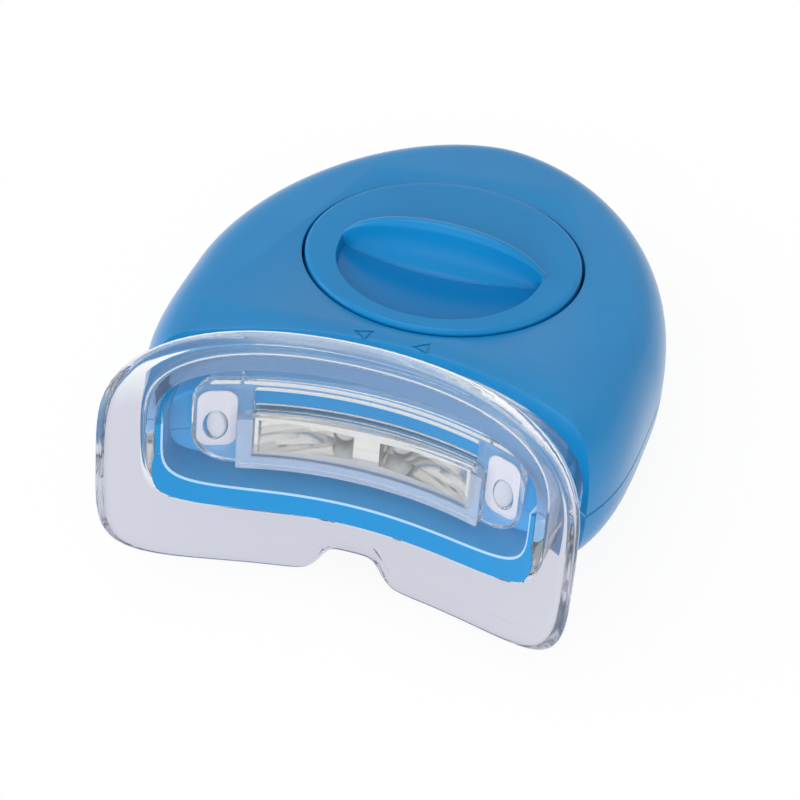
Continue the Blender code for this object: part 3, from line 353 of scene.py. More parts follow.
# the grey-lavender tint in the shield's zone is painted shade: it stands for the shaded floor seen through the
# lower shield
clearMouth = clearMaterial("clearMouth", (0.945, 0.972, 0.99), 0.03, 0.985, (0.64, 0.65, 0.74))
clearWindow = clearMaterial("clearWindow", (0.97, 0.975, 0.98), 0.02, 0.96)
frostedEdge = clearMaterial("frostedEdge", (0.86, 0.88, 0.92), 0.20, 0.88)
frosted = clearMaterial("frostedPads", (0.62, 0.625, 0.69), 0.35, 0.35)
clearPin = clearMaterial("clearPin", (0.57, 0.57, 0.60), 0.15, 0.25)
ledLens = clearMaterial("ledLens", (0.88, 0.89, 0.91), 0.04, 0.55)
mirror = metalMaterial("mirrorChrome", (0.88, 0.88, 0.86), (0.72, 0.72, 0.71), 0.10, (1, 1, 6), 300)
cellSteel = metalMaterial("cellSteel", (0.74, 0.74, 0.72), (0.62, 0.62, 0.6), 0.24, (1, 12, 1), 300)
nickel = metalMaterial("contactNickel", (0.78, 0.76, 0.7), (0.68, 0.66, 0.6), 0.26, (12, 1, 1), 300)
zinc = metalMaterial("screwZinc", (0.62, 0.63, 0.64), (0.5, 0.51, 0.53), 0.3, (1, 1, 1), 1500)
chipBlack = plasticMaterial("chipBlack", (0.02, 0.02, 0.022), (0.028, 0.028, 0.03), 0.55, 0.2, 0.05, 0.00004)
resistorTan = plasticMaterial("resistorTan", (0.55, 0.4, 0.24), (0.5, 0.35, 0.2), 0.45, 0.1, 0.05)
switchGrey = plasticMaterial("switchGrey", (0.25, 0.26, 0.27), (0.21, 0.22, 0.23), 0.5, 0.1, 0.05)
plungerBlack = plasticMaterial("plungerBlack", (0.03, 0.03, 0.03), (0.04, 0.04, 0.04), 0.4, 0.1, 0.05)
laminate = laminateMaterial()

carried = {
    "battery_cell_lower": cellSteel, "battery_cell_upper": cellSteel, "negative_contact_spring": nickel,
    "positive_contact_clip": nickel, "circuit_board": laminate, "timer_chip": chipBlack,
    "resistor_1": resistorTan, "resistor_2": resistorTan, "switch_body": switchGrey,
    "switch_plunger": plungerBlack, "shell_screw_1": zinc, "shell_screw_2": zinc, "shell_screw_3": zinc,
    "board_screw_1": zinc, "board_screw_2": zinc,
}
for node, material in carried.items():
    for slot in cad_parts[node].material_slots:
        slot.material = material
print("materials done")


# The case

case = {
    "halfWidth": 0.02995, "back": 0.03295, "widestAhead": 0.008, "cornerTaper": 0.003, "step": 0.0217,
    "height": 0.01765, "seam": 0.00775, "seamHalf": 0.00005, "seamEdge": 0.00012, "topRound": 0.0058,
    "bottomRound": 0.0050, "wall": 0.0018, "frontWall": 0.0028, "backPower": 1.85, "sidePower": 4.0,
    "topPower": 2.5, "bottomPower": 2.65, "frontShare": 0.18, "wellRadius": 0.01745, "wellOuter": 0.01865,
    "wellFloor": 0.0081, "wellEdge": 0.00025, "wellSunk": 0.0009, "wellBase": 0.001,
    "openingMiddle": 0.007925, "openingHalf": 0.0141, "openingTall": 0.0029,
    "openingDeep": 0.0040, "buttonMiddle": (0, 0.003),
    "buttonHole": ((0.0056, -0.001), (0.0056, -0.0001), (0.0053, 0.0003), (0.0052, 0.0005), (0.0052, 0.0030)),
}


def caseSide(y):
    share = max(0.0, -y - case["widestAhead"])
    share /= case["step"] + archDrop(case["halfWidth"] - case["cornerTaper"]) - case["widestAhead"]
    return case["halfWidth"] - case["cornerTaper"] * share ** case["sidePower"]


def caseRing(z, inset, front, backSteps=40, sideSteps=16, frontSteps=60):
    # one level of the case: sides and back drawn in by inset, and a concave front on the arch
    edge = case["halfWidth"] - case["cornerTaper"] - inset
    for _ in range(8):
        edge = caseSide(-front - archDrop(edge)) - inset
    cornerY = -front - archDrop(edge)
    right = []
    for i in range(sideSteps):
        y = cornerY + (-case["widestAhead"] - cornerY) * i / sideSteps
        right.append((caseSide(y) - inset, y))
    reach, power = case["back"] + case["widestAhead"], case["backPower"]
    for i in range(backSteps):
        turn = math.pi / 2 * i / backSteps
        across, along = math.cos(turn) ** (2 / power), math.sin(turn) ** (2 / power)
        slope = Vector((across ** (power - 1) / case["halfWidth"], along ** (power - 1) / reach))
        slope.normalize()
        right.append((case["halfWidth"] * across - slope.x * inset,
                      reach * along - case["widestAhead"] - slope.y * inset))
    ring = right + [(0, case["back"] - inset)] + [(-x, y) for x, y in reversed(right)]
    for i in range(1, frontSteps):
        x = edge * (2 * i / frontSteps - 1)
        ring.append((x, -front - archDrop(x)))
    return [(x, y, z) for x, y in ring]


def caseCup(start, end, amount, power, levels=16, innerLevels=6):
    # half of the case as a closed cup with a rounded skin
    span, wall, edge = end - start, case["wall"], case["seamEdge"]
    reach, first = end - math.copysign(wall, span), math.copysign(edge, span)

    def level(i, count):
        share = math.sin(math.pi / 2 * i / count)
        return share, amount * (1 - (1 - share ** power) ** (1 / power))

    outer, inner = [caseRing(start, edge, case["step"])], []
    for i in range(levels + 1):
        share, inset = level(i, levels)
        at = max(start + first, start + span * share, key=lambda z: abs(z - start))
        outer.append(caseRing(at, inset, case["step"] - case["frontShare"] * inset))
    for i in range(innerLevels + 1):
        share, inset = level(i, innerLevels)
        inner.append(caseRing(start + (reach - start) * share, inset + wall, case["step"] - case["frontWall"]))
    return closeEnds(skinRows(outer[::-1] + inner))


# The mouthpiece's neck, whose outline the case's nose, lip and groove follow

mouth = {
    "reach": 0.0110, "seat": 0.0012, "wall": 0.0022, "sideWall": 0.0013, "shieldHalf": 0.0282, "low": -0.00884,
    "high": 0.0242, "thickness": 0.0015, "bead": 0.00025, "edge": 0.0009, "frontHalf": 0.0239,
    "frontLow": -0.00085, "frontHigh": 0.02175, "backHalf": 0.02585, "backLow": 0.0011,
    "backHigh": 0.01655, "notchHeight": 0.0040, "notchHalf": 0.0039, "inFillet": 0.0001,
    "outFillet": 0.0005, "clearFrom": 0.0150, "clearOver": 0.006, "neckPower": 4.0, "shieldPower": 4.1,
    "points": 176, "crowd": 0.72, "shoulder": 0.00003,
}
nose = {"front": 0.0274, "high": 0.01405, "inset": 0.0006, "round": 0.0004, "root": 0.0014}
lip = {"gap": 0.0001, "wall": 0.00075, "high": 0.0120, "behind": 0.00003, "rim": 0.0003, "round": 0.00017,
       "rimFull": 0.0035, "rimNone": 0.0080, "past": 0.0007, "flat": 0.00004, "rimEase": 0.00006, "faint": 0.13}
groove = {"points": 96, "from": 0.0200, "to": 0.0280, "around": 0.00025, "floor": 0.0206, "front": 0.0216,
          "noseFrom": 0.0222, "noseGlow": 0.45, "facing": 0.6}
marks = {"angles": (259.1, 279.6), "ahead": 0.0030, "outer": 0.00145, "inner": 0.00085, "sunk": 0.00013,
         "above": 0.0003, "past": 0.0001}


def ovalRing(half, low, high, power, count, crowd):
    # points (x, z) on a rounded oval, from its lowest point round, crowded to the top and foot
    fine = 1440
    middle, halfHeight = (low + high) / 2, (high - low) / 2
    dense = []
    for i in range(fine + 1):
        turn = math.tau * i / fine - math.pi / 2
        x = math.copysign(abs(math.cos(turn)) ** (2 / power), math.cos(turn))
        z = math.copysign(abs(math.sin(turn)) ** (2 / power), math.sin(turn))
        dense.append(Vector((half * x, middle + halfHeight * z)))
    run = [0.0]
    for before, after in zip(dense, dense[1:]):
        run.append(run[-1] + (after - before).length)
    points, k = [], 0
    for i in range(count):
        share = i / count
        share -= crowd * math.sin(math.tau * share) / math.tau
        while run[k + 1] < share * run[-1]:
            k += 1
        mix = (share * run[-1] - run[k]) / (run[k + 1] - run[k])
        points.append(dense[k].lerp(dense[k + 1], mix))
    return points


def neckOutline(behind, grow=0.0, walls=0, count=mouth["points"], crowd=mouth["crowd"]):
    # the neck's outline at a depth behind the shield's front, grown, and drawn in by its walls
    share = behind / mouth["reach"]
    half = mouth["frontHalf"] + (mouth["backHalf"] - mouth["frontHalf"]) * share + grow - walls * mouth["sideWall"]
    low = mouth["frontLow"] + (mouth["backLow"] - mouth["frontLow"]) * share - grow + walls * mouth["wall"]
    high = mouth["frontHigh"] + (mouth["backHigh"] - mouth["frontHigh"]) * share + grow - walls * mouth["wall"]
    return ovalRing(half, low, high, mouth["neckPower"], count, crowd)


shieldFront = case["step"] + mouth["reach"]


def onNeck(points, behind):
    return [(p.x, behind - shieldFront - archDrop(p.x), p.y) for p in points]


def noseShape():
    # the case's nose: it narrows with the neck, under a lower top, and ends on its own middle line
    def row(depth, inset, squeeze=0.0):
        ring = neckOutline(shieldFront - depth, -nose["inset"] - inset, 1, 160, 0)
        top, foot = max(p.y for p in ring), min(p.y for p in ring)
        middle = (top + foot) / 2
        squash = (nose["high"] - inset - middle) / (top - middle)
        points = []
        for p in ring:
            z = middle + (p.y - middle) * (squash if p.y > middle else 1) * (1 - squeeze)
            points.append((p.x, -depth - archDrop(p.x), z))
        return points

    back, front, bend = case["step"] - nose["root"], nose["front"], nose["round"]
    rows = [row(back, 0, 1), row(back, 0, 0.5)]
    rows += [row(back + (front - bend - back) * i / 5, 0) for i in range(6)]
    for i in range(1, 6):
        turn = math.pi / 2 * i / 5
        rows.append(row(front - bend * (1 - math.sin(turn)), bend * (1 - math.cos(turn))))
    rows += [row(front, bend, i / 6) for i in range(1, 7)]
    return skinRows(rows)


def rimShare(z):
    # how much of the lip's rim stands at a height: all of it below, none at the sides
    return min(1.0, max(0.0, (lip["rimNone"] - z) / (lip["rimNone"] - lip["rimFull"])))


def lipShape():
    # the nose's lip, which lines the neck's floor and sides, with a thin rim over the wall's front
    end, front, bend, flat = mouth["reach"] + lip["past"], lip["behind"], lip["round"], lip["flat"]
    back = front + lip["rim"]
    # each row's zone sets the lip's painted glow: full on the rounded edge as a painted highlight, faint on the
    # inner side
    rows, zones = [], []        # zone: faint on the inner side, full on the rounded edge

    def add(behind, out, rim, zone=0):
        inner = neckOutline(behind, -lip["gap"] - lip["wall"] + out, 1)
        outer = neckOutline(behind, -lip["gap"])
        rows.append(onNeck([a.lerp(b, rim * rimShare(a.y)) for a, b in zip(inner, outer)], behind))
        zones.append(zone)

    for i in range(9):
        add(end + (front + bend - end) * i / 9, 0, 0, lip["faint"])
    add(front + bend + flat, 0, 0, lip["faint"])
    for i in range(5):
        turn = math.pi * i / 8
        add(front + bend * (1 - math.sin(turn)), bend * (1 - math.cos(turn)), 0, 1)
    add(front, bend + flat, 0)
    for behind, rim in ((front, 0.33), (front, 0.66), (front, 0.97), (front + lip["rimEase"], 1),
                        (back, 1), (back, 0)):
        add(behind, lip["wall"], rim)
    for i in range(1, 10):
        add(back + (end - back) * i / 9, lip["wall"], 0)
    return skinRows(rows, zones, closed=True)


def grooveShape():
    # the groove in the case that the mouthpiece's end sits in
    deep, ahead = mouth["reach"] + mouth["seat"] + gap, mouth["reach"] - mouth["wall"]
    sides = ((ahead, gap, 0), (deep, gap, 0), (deep, -gap, 1), (ahead, -gap, 1))
    return skinRows([onNeck(neckOutline(behind, grow, walls, groove["points"]), behind)
                     for behind, grow, walls in sides], closed=True)


def paintedGlowZone(face):
    # where the painted glow goes: 1 on the case's faces round the mouthpiece's hidden end, less on its nose, which
    # that light also reaches
    x, y, z = face.center
    depth = -y - archDrop(x)
    if not groove["from"] < depth < groove["to"]:
        return 0
    inside = []
    for grow, walls in ((groove["around"], 0), (-groove["around"], 1)):
        ring = neckOutline(shieldFront - depth, grow, walls, 4, 0)
        half, low, high = ring[1].x, ring[0].y, ring[2].y
        across, up = x / half, (z - (low + high) / 2) / (high - low) * 2
        inside.append(abs(across) ** mouth["neckPower"] + abs(up) ** mouth["neckPower"])
    if depth > groove["front"]:
        return groove["noseGlow"] if inside[1] < 1 and depth > groove["noseFrom"] else 0
    if depth > groove["floor"] and abs(face.normal.y) > groove["facing"]:
        return 0
    return inside[0] < 1 < inside[1]


def frontCutters():
    half, middle, tall = case["openingHalf"], case["openingMiddle"], case["openingTall"]
    opening = plate(-half, half, middle - tall, middle + tall, case["step"] - case["openingDeep"], beyond)
    return [asObject("lampOpening", opening), asObject("groove", grooveShape())]


def markShape(angle):
    # the outline of a small triangle sunk into the case's top, its tip towards the cover
    turn, out = math.radians(angle), case["wellRadius"] + marks["ahead"]
    rings = []
    for radius, more in ((marks["outer"], 0), (marks["inner"], marks["past"])):
        bm = cylinder(radius, 0, marks["sunk"] + marks["above"] + 2 * more, 3)
        bmesh.ops.rotate(bm, verts=bm.verts, cent=(0, 0, 0), matrix=Matrix.Rotation(turn + math.pi, 3, "Z"))
        bmesh.ops.translate(bm, verts=bm.verts, vec=(out * math.cos(turn), out * math.sin(turn),
                                                     case["height"] - marks["sunk"] - more))
        rings.append(asObject("mark", bm))
    return joinWith(rings[0], [rings[1]], "DIFFERENCE")


def dressShell(shell, lining, node):
    markZone(shell, paintedGlowZone)
    bm = keepBetween(lipShape(), *lining[1:])
    dress(asObject(lining[0], bm), blueLip, "case", (node,), 32)
    return dress(shell, blue, "case", (node,), 32)


def upperShell():
    start, edge, top = case["seam"] + case["seamHalf"], case["wellEdge"], case["height"]
    shell = asObject("upperShell", caseCup(start, top, case["topRound"], case["topPower"]))
    well = asObject("well", cylinder(case["wellOuter"], case["wellFloor"] - case["wellBase"],
                                     top - case["wellSunk"], 128))
    noseTop = asObject("noseTop", keepBetween(noseShape(), start, beyond))
    joinWith(shell, [well, noseTop], "UNION")
    radius = case["wellRadius"]
    hollow = asObject("hollow", turnedShape([
        (radius, case["wellFloor"]), (radius, top - edge), (radius + edge * 0.3, top - edge * 0.3),
        (radius + edge, top), (radius + edge, beyond)], segments=160))
    triangles = [markShape(angle) for angle in marks["angles"]]
    joinWith(shell, [hollow] + frontCutters() + triangles, "DIFFERENCE")
    return dressShell(shell, ("lipTop", start, lip["high"]), "battery_side_shell")


def lowerShell():
    start = case["seam"] - case["seamHalf"]
    shell = asObject("lowerShell", caseCup(start, 0, case["bottomRound"], case["bottomPower"]))
    joinWith(shell, [asObject("noseLow", keepBetween(noseShape(), -beyond, start))], "UNION")
    hole = asObject("buttonHole", turnedShape(case["buttonHole"], case["buttonMiddle"]))
    joinWith(shell, frontCutters() + [hole], "DIFFERENCE")
    return dressShell(shell, ("lipLow", -beyond, start), "button_side_shell")


upperShell()
lowerShell()
print("case done")


# The battery cover

cover = {
    "radius": 0.01715, "low": 0.01605, "high": 0.01815, "edge": 0.0006, "recess": 0.0128,
    "recessAhead": 0.0019, "recessDepth": 0.0013, "recessEdge": 0.00035, "recessEase": 0.0003,
    "finHalf": 0.0134, "finHeight": 0.0056, "tipFront": 0.0009, "bulge": 0.0026, "crestFront": 0.0011,
    "finTop": 0.0021, "finFoot": 0.0048, "skirtIn": 0.01455, "skirtOut": 0.01575, "skirtLow": 0.01185,
    "columns": 180, "apart": 0.00002, "level": 0.00012,
}


def eased(step):
    return 3 * step ** 2 - 2 * step ** 3


def coverSection(x, rim):
    # the cover's upper face along one chord: plate, recess, fin and plate again
    high, half, apart = cover["high"], math.sqrt(max(rim ** 2 - x ** 2, 1e-12)), cover["apart"]
    bulge = 1 - min(abs(x) / cover["finHalf"], 1.0) ** 2
    narrow = math.sqrt(bulge)
    outer, inner = cover["recess"], cover["recess"] - cover["recessEdge"]
    base = high - cover["recessDepth"] * eased(min(1.0, max(0.0, (outer - abs(x)) / cover["recessEase"])))
    crest = max(high - cover["recessDepth"] + cover["finHeight"] * narrow, base)
    foot = -cover["tipFront"] - cover["bulge"] * bulge
    front = -cover["crestFront"] * (2 + bulge) / 3
    top = cover["finTop"] * (0.15 + 0.85 * narrow)
    backFoot = front + top + (cover["finFoot"] - cover["finTop"]) * narrow
    reachOut = math.sqrt(max(outer ** 2 - x ** 2, 0)) + cover["recessAhead"]
    reachIn = math.sqrt(max(inner ** 2 - x ** 2, 0)) + cover["recessAhead"]
    edgeOut = max(-half + apart, min(-reachOut, foot - 3 * apart))
    edgeIn = min(max(-reachIn, edgeOut + apart), foot - 2 * apart)
    points = [(-half + (edgeOut + half) * i / 10, high) for i in range(10)]
    for i in range(9):
        points.append((edgeOut + (edgeIn - edgeOut) * i / 8, high + (base - high) * eased(i / 8)))
    for i in range(1, 16):
        points.append((edgeIn + (foot - edgeIn) * i / 16, base))
    bend = top / 2
    drop = bend * (1 + narrow) / 2
    shoulder = max(crest - drop, base)
    for i in range(13):
        turn = math.pi / 2 * i / 12
        up = 0.62 * (1 - math.cos(turn)) + 0.38 * i / 12
        points.append((foot + (front - foot) * math.sin(turn), base + (shoulder - base) * up))
    for i in range(1, 12):
        turn = math.pi * (1 - i / 12)
        floor = base if i < 6 else min(high, crest) if i == 6 else high
        points.append((front + bend + bend * math.cos(turn), max(crest - drop * (1 - math.sin(turn)), floor)))
    for i in range(14):
        points.append((front + top + (backFoot - front - top) * i / 13,
                       high + max(crest - drop - high, 0) * (1 - i / 13) ** 1.7))
    last = points[-1][0]
    for i in range(1, 15):
        points.append((last + (half - last) * i / 14, high))
    return [(x, y, z) for y, z in points]


def batteryCover():
    edge, high, columns = cover["edge"], cover["high"], cover["columns"]
    rim = cover["radius"] - edge
    chords = [-rim * math.cos(math.pi * i / columns) for i in range(columns + 1)]
    bm = skinRows([coverSection(x, rim) for x in chords], ring=False)
    edges = [edge for edge in bm.edges if edge.is_boundary]
    rings = []
    for i in range(1, 7):
        turn = math.pi / 2 * (1 - i / 6)
        rings.append((rim + edge * math.cos(turn), high - edge * (1 - math.sin(turn))))
    rings += [(cover["radius"], cover["low"]), (cover["skirtOut"], cover["low"]),
              (cover["skirtOut"], cover["skirtLow"]), (cover["skirtIn"], cover["skirtLow"]),
              (cover["skirtIn"], cover["low"])]
    for radius, z in rings:
        grown = bmesh.ops.extrude_edge_only(bm, edges=edges)["geom"]
        fresh = {item for item in grown if isinstance(item, bmesh.types.BMVert)}
        for vert in fresh:
            turn = math.atan2(vert.co.y, vert.co.x)
            vert.co = (radius * math.cos(turn), radius * math.sin(turn), z)
        edges = [item for item in grown if isinstance(item, bmesh.types.BMEdge)
                 and item.verts[0] in fresh and item.verts[1] in fresh]
    bmesh.ops.holes_fill(bm, edges=edges, sides=0)
    whole = asObject("batteryCover", bm)
    floor = high - cover["recessDepth"]
    # the zone is the recess floor in front of the fin, which takes the painted shade
    markZone(whole, lambda face: face.center.y < -cover["tipFront"]
             and abs(face.center.z - floor) < cover["level"])
    return dress(whole, blueCover, "cover", ("battery_cover",), 30)


batteryCover()
print("cover done")


# The clear mouthpiece

def clearMouthpiece():
    thick, deep = mouth["thickness"], mouth["reach"] + mouth["seat"]
    middle = (mouth["low"] + mouth["high"]) / 2
    rows, zones = [], []

    def add(points, behind, zone):
        # depth square to the arch in the shield, straight back in the neck
        row = []
        for k, p in enumerate(points):
            lean = 1 / math.sqrt(1 - (p.x / archBend) ** 2)
            own = behind[k] if isinstance(behind, list) else behind
            if own <= thick:
                back = own * lean
            else:
                back = thick * lean + (own - thick) * (deep - thick * lean) / (deep - thick)
            row.append((p.x, back - shieldFront - archDrop(p.x), p.y))
        rows.append(row)
        zones.append(zone)

    def shieldOutline(inset):
        ring = ovalRing(mouth["shieldHalf"] - inset, mouth["low"] + inset, mouth["high"] - inset,
                        mouth["shieldPower"], mouth["points"], mouth["crowd"])
        lifted = []
        for p in ring:
            lift = mouth["notchHeight"] / (1 + (abs(p.x) / mouth["notchHalf"]) ** 6)
            lifted.append(Vector((p.x, p.y + (lift if p.y < middle else 0))))
        return lifted

    def addEnd(walls):
        # the hidden end, square to the slope of the wall at each point
        ends = [neckOutline(deep, 0, w) for w in (0, 1)]
        row = []
        for out, inn, own, start, first in zip(*ends, ends[walls], neckOutline(0, 0, walls), neckOutline(0)):
            across = out - inn
            slope = (out - first).dot(across) / deep
            shift = max(0.0, -slope if walls else slope)
            spot = own.lerp(start, shift / deep)
            row.append((spot.x, deep - shift - shieldFront - archDrop(spot.x), spot.y))
        rows.append(row)
        zones.append(0)

    inFillet, outFillet = mouth["inFillet"], mouth["outFillet"]
    addEnd(1)
    for i in range(2, 9):
        behind = deep + (inFillet - deep) * i / 9
        add(neckOutline(behind, 0, 1), behind, 0)
    opening, rim, face = neckOutline(0, inFillet, 1), shieldOutline(mouth["edge"]), neckOutline(0)
    sunk = [(lip["behind"] + lip["rim"] + lip["gap"]) * rimShare(p.y) for p in neckOutline(0, 0, 1)]
    for i in range(6):
        turn = math.pi / 2 * i / 5
        fillet = inFillet * (1 - math.sin(turn))
        add(neckOutline(inFillet, inFillet * (1 - math.cos(turn)), 1), [fillet + s for s in sunk], 0)
    shoulder = neckOutline(0, -mouth["shoulder"])
    for i in range(1, 4):
        add([a.lerp(b, i / 3) for a, b in zip(opening, shoulder)], sunk, 0)
    add(shoulder, 0, 0)
    for i in range(6):
        add([a.lerp(b, i / 6) for a, b in zip(face, rim)], 0, 1)
    radius = thick / 2 + mouth["bead"]
    for i in range(13):
        turn = math.pi * i / 12
        add(shieldOutline(mouth["edge"] - radius * math.sin(turn)), thick / 2 - radius * math.cos(turn), 1)
    collar = neckOutline(thick, outFillet)
    for i in range(1, 6):
        add([b.lerp(a, i / 6) for a, b in zip(collar, rim)], thick, 1)
    for i in range(6):
        turn = math.pi / 2 * i / 5
        behind = thick + outFillet * (1 - math.cos(turn))
        add(neckOutline(behind, outFillet * (1 - math.sin(turn))), behind, 1 - i / 5)
    for i in range(1, 8):
        behind = thick + outFillet + (deep - thick - outFillet) * i / 8
        add(neckOutline(behind), behind, 0)
    addEnd(0)
    bm = skinRows(rows, zones, closed=True)
    zone = bm.verts.layers.float["zone"]
    for vert in bm.verts:
        # the painted shade tint fades out from 15 to 21 mm up, so the shield is clear where it stands before the
        # case
        above = mouth["clearFrom"] + mouth["clearOver"] - vert.co.z
        vert[zone] *= min(1.0, max(0.0, above / mouth["clearOver"]))
    return dress(asObject("clearMouthpiece", bm), clearMouth, "case", ("mouthpiece",), 50)


clearMouthpiece()
print("mouthpiece done")


# The lamp: window and its pins, reflector, LEDs

window = {
    "middle": case["openingMiddle"], "halfWidth": 0.0150, "halfHeight": 0.0035, "back": 0.0277, "front": 0.0289,
    "raised": 0.0304, "plateHalf": 0.0200, "plateLow": 0.0037, "plateHigh": 0.0154, "corner": 0.0045,
    "topCorner": 0.0022, "slotHalf": 0.0136, "slotHigh": 0.0141, "inside": 0.0014, "ledgeLow": 0.00105,
    "ledgeHigh": 0.0001, "ledgeReach": 0.0032, "lugReach": 0.0018, "lugFrom": 0.0004, "lugTo": 0.0036,
    "strips": 48, "soft": 0.00012, "barHigh": 0.0013, "barSide": 0.0017, "skin": 0.00003, "paneCorner": 0.0006,
    "paneTaper": 0.0002, "paneInside": 0.0005, "paneWall": 0.0012, "slotCorner": 0.0002,
}
pad = {"thick": 0.0003, "foot": 0.0029, "head": 0.0048, "corner": 0.0014, "soft": 0.00008}
pin = {"side": 0.0174, "height": 0.009225, "half": 0.0012, "tall": 0.0019, "back": 0.0030, "segments": 40}
reflector = {
    "half": 0.0132, "tall": 0.0026, "front": 0.0289, "back": 0.0222, "post": 0.0016, "end": 0.0004,
    "shallow": 0.0014, "deeper": 0.0038, "bowl": 0.45, "narrow": 0.0016, "widen": 0.0006, "fold": 0.00035,
    "bore": 0.0018, "boreDeep": 0.0052, "past": 0.032,
}
led = {"side": 0.0035, "radius": 0.0015, "length": 0.0036, "flange": 0.0019, "flangeHigh": 0.0007,
       "base": 0.0212}


def pinHoles(room):
    holes = []
    for side in (-1, 1):
        bm = cylinder(1, -0.03, 0.03, 32)
        bmesh.ops.scale(bm, verts=bm.verts, vec=(pin["half"] + room, pin["tall"] + room, 1))
        holes.append(asObject("hole", layForward(bm, (side * pin["side"], -0.03, pin["height"]))))
    return holes


def lampWindow():
    # the clear plate with its pane, its ledge over the nose and a frosted pad round each pin
    low, high = window["middle"] - window["halfHeight"], window["middle"] + window["halfHeight"]
    back, front, raised, half = window["back"], window["front"], window["raised"], window["halfWidth"]
    wide, top, paneLow = window["plateHalf"], window["plateHigh"], window["plateLow"] + window["skin"]
    whole = asObject("windowPlate", plate(-wide, wide, window["plateLow"], top, back, front, window["corner"],
                                          topCorner=window["topCorner"]))
    tools = [asObject("pane", plate(-half, half, paneLow, high, back + window["paneInside"], raised,
                                   window["paneCorner"], window["paneTaper"], 3))]
    ledge, inside = (top - window["ledgeLow"], top - window["ledgeHigh"]), back + 0.0004
    tools.append(asObject("ledge", plate(-half, half, *ledge, back - window["ledgeReach"], inside)))
    for side in (-1, 1):
        ends = sorted((side * (half + window["lugFrom"]), side * (half + window["lugTo"])))
        tools.append(asObject("lug", plate(*ends, *ledge, back - window["lugReach"], inside)))
    joinWith(whole, tools, "UNION")
    inner, slot = half - window["inside"], window["slotHalf"]
    through = back - 0.001
    cutters = [
        asObject("slot", plate(-slot, slot, high + 0.0001, window["slotHigh"], through, front + 0.0008,
                               window["slotCorner"], 0, 2)),
        asObject("hollow", plate(-inner, inner, low + 0.0006, high - 0.0006, through,
                                 raised - window["paneWall"]))]
    joinWith(whole, cutters + pinHoles(0.00025), "DIFFERENCE")
    softEdges(whole, window["soft"])
    layOnArch(whole, wide, window["strips"])
    dress(whole, clearWindow, "case", ("light_window",), 40)

    foot, head = pin["height"] - pad["foot"], pin["height"] + pad["head"]
    pads = []
    for side in (-1, 1):
        ends = sorted((side * (half + 0.0001), side * (wide - 0.0006)))
        pads.append(asObject("windowPads", plate(*ends, foot, head, front + window["skin"], front + pad["thick"],
                                                 pad["corner"])))
    edge, near, far = half - 0.0003, raised + 0.00002, raised + 0.0001
    bars = [asObject("windowFrame", plate(-edge, edge, paneLow + 0.0002, low + window["barHigh"], near, far))]
    for side in (-1, 1):
        ends = sorted((side * edge, side * (edge - window["barSide"])))
        bars.append(asObject("upright", plate(*ends, low + window["barHigh"] - 0.0001, high - 0.0005,
                                              near, far)))
    joinWith(bars[0], bars[1:], "UNION")
    layOnArch(bars[0], edge, 40)
    dress(bars[0], frostedEdge, "case", ("light_window",), 40)
    joinWith(pads[0], pads[1:], "UNION")
    joinWith(pads[0], pinHoles(0.00015), "DIFFERENCE")
    softEdges(pads[0], pad["soft"])
    layOnArch(pads[0], wide, window["strips"])
    return dress(pads[0], frosted, "case", ("light_window",), 40)


def mirrorReflector():
    # a mirrored block: on each side a fan of facets that rises from the lamp to the mouth's end
    half, tall, front, back = reflector["half"], reflector["tall"], reflector["front"], reflector["back"]
    post, narrow, middle = reflector["post"], reflector["narrow"], window["middle"]
    block = asObject("mirrorReflector", plate(-half, half, middle - tall, middle + tall, back, front))
    cutters = []
    for side in (-1, 1):
        rows = []
        for i in range(9):
            share = i / 8
            x = post + (half - reflector["end"] - post) * share
            deep = reflector["shallow"] + reflector["deeper"] * (1 - share) ** 0.8
            wide = narrow + reflector["widen"] * share
            row = [(side * x, -reflector["past"], middle - wide)]
            for k in range(9):
                across = k / 4 - 1
                fold = reflector["fold"] * share * (k % 2)
                row.append((side * x, -(front - deep * (1 - reflector["bowl"] * across ** 2) + fold),
                            middle + wide * across))
            rows.append(row + [(side * x, -reflector["past"], middle + wide)])
        cutters.append(asObject("wing", closeEnds(skinRows(rows))))
        bore = cylinder(reflector["bore"], -0.001, reflector["boreDeep"], 40)
        cutters.append(asObject("bore", layForward(bore, (side * led["side"], -back, middle))))
    joinWith(block, cutters, "DIFFERENCE")
    layOnArch(block, half, 24)
    return dress(block, mirror, "case", ("reflector",), 12)


def windowPin(side, word):
    # an oval pin with a rounded tip
    drop, count = archDrop(pin["side"]), pin["segments"]
    base, tip = pin["back"] - gap - nose["front"] - drop, -window["front"] - pad["thick"] - drop
    rows = []
    for y, shrink in ((base, 0), (tip + 0.0003, 0), (tip + 0.0001, 0.0001), (tip, 0.0003),
                      (tip - 0.00003, 0.0008)):
        rows.append([(side * pin["side"] + (pin["half"] - shrink) * math.cos(math.tau * i / count), y,
                      pin["height"] + (pin["tall"] - shrink) * math.sin(math.tau * i / count))
                     for i in range(count)])
    whole = asObject("windowPin" + word.title(), closeEnds(skinRows(rows)))
    return dress(whole, clearPin, "case", ("window_pin_" + word,), 50)


def ledLamp(side, word):
    radius, flange, foot = led["radius"], led["flange"], led["flangeHigh"]
    top = foot + led["length"]
    profile = [(flange, 0), (flange, foot), (radius, foot), (radius, top)]
    for i in range(1, 9):
        turn = math.pi / 2 * i / 9
        profile.append((radius * math.cos(turn), top + radius * math.sin(turn)))
    bm = layForward(turnedShape(profile, segments=40), (side * led["side"], -led["base"], window["middle"]))
    return dress(asObject("led" + word.title(), bm), ledLens, "case", ("led_" + word,), 50)


lampWindow()
mirrorReflector()
for side, word in ((-1, "left"), (1, "right")):
    windowPin(side, word)
    ledLamp(side, word)
print("lamp done")


# The power button

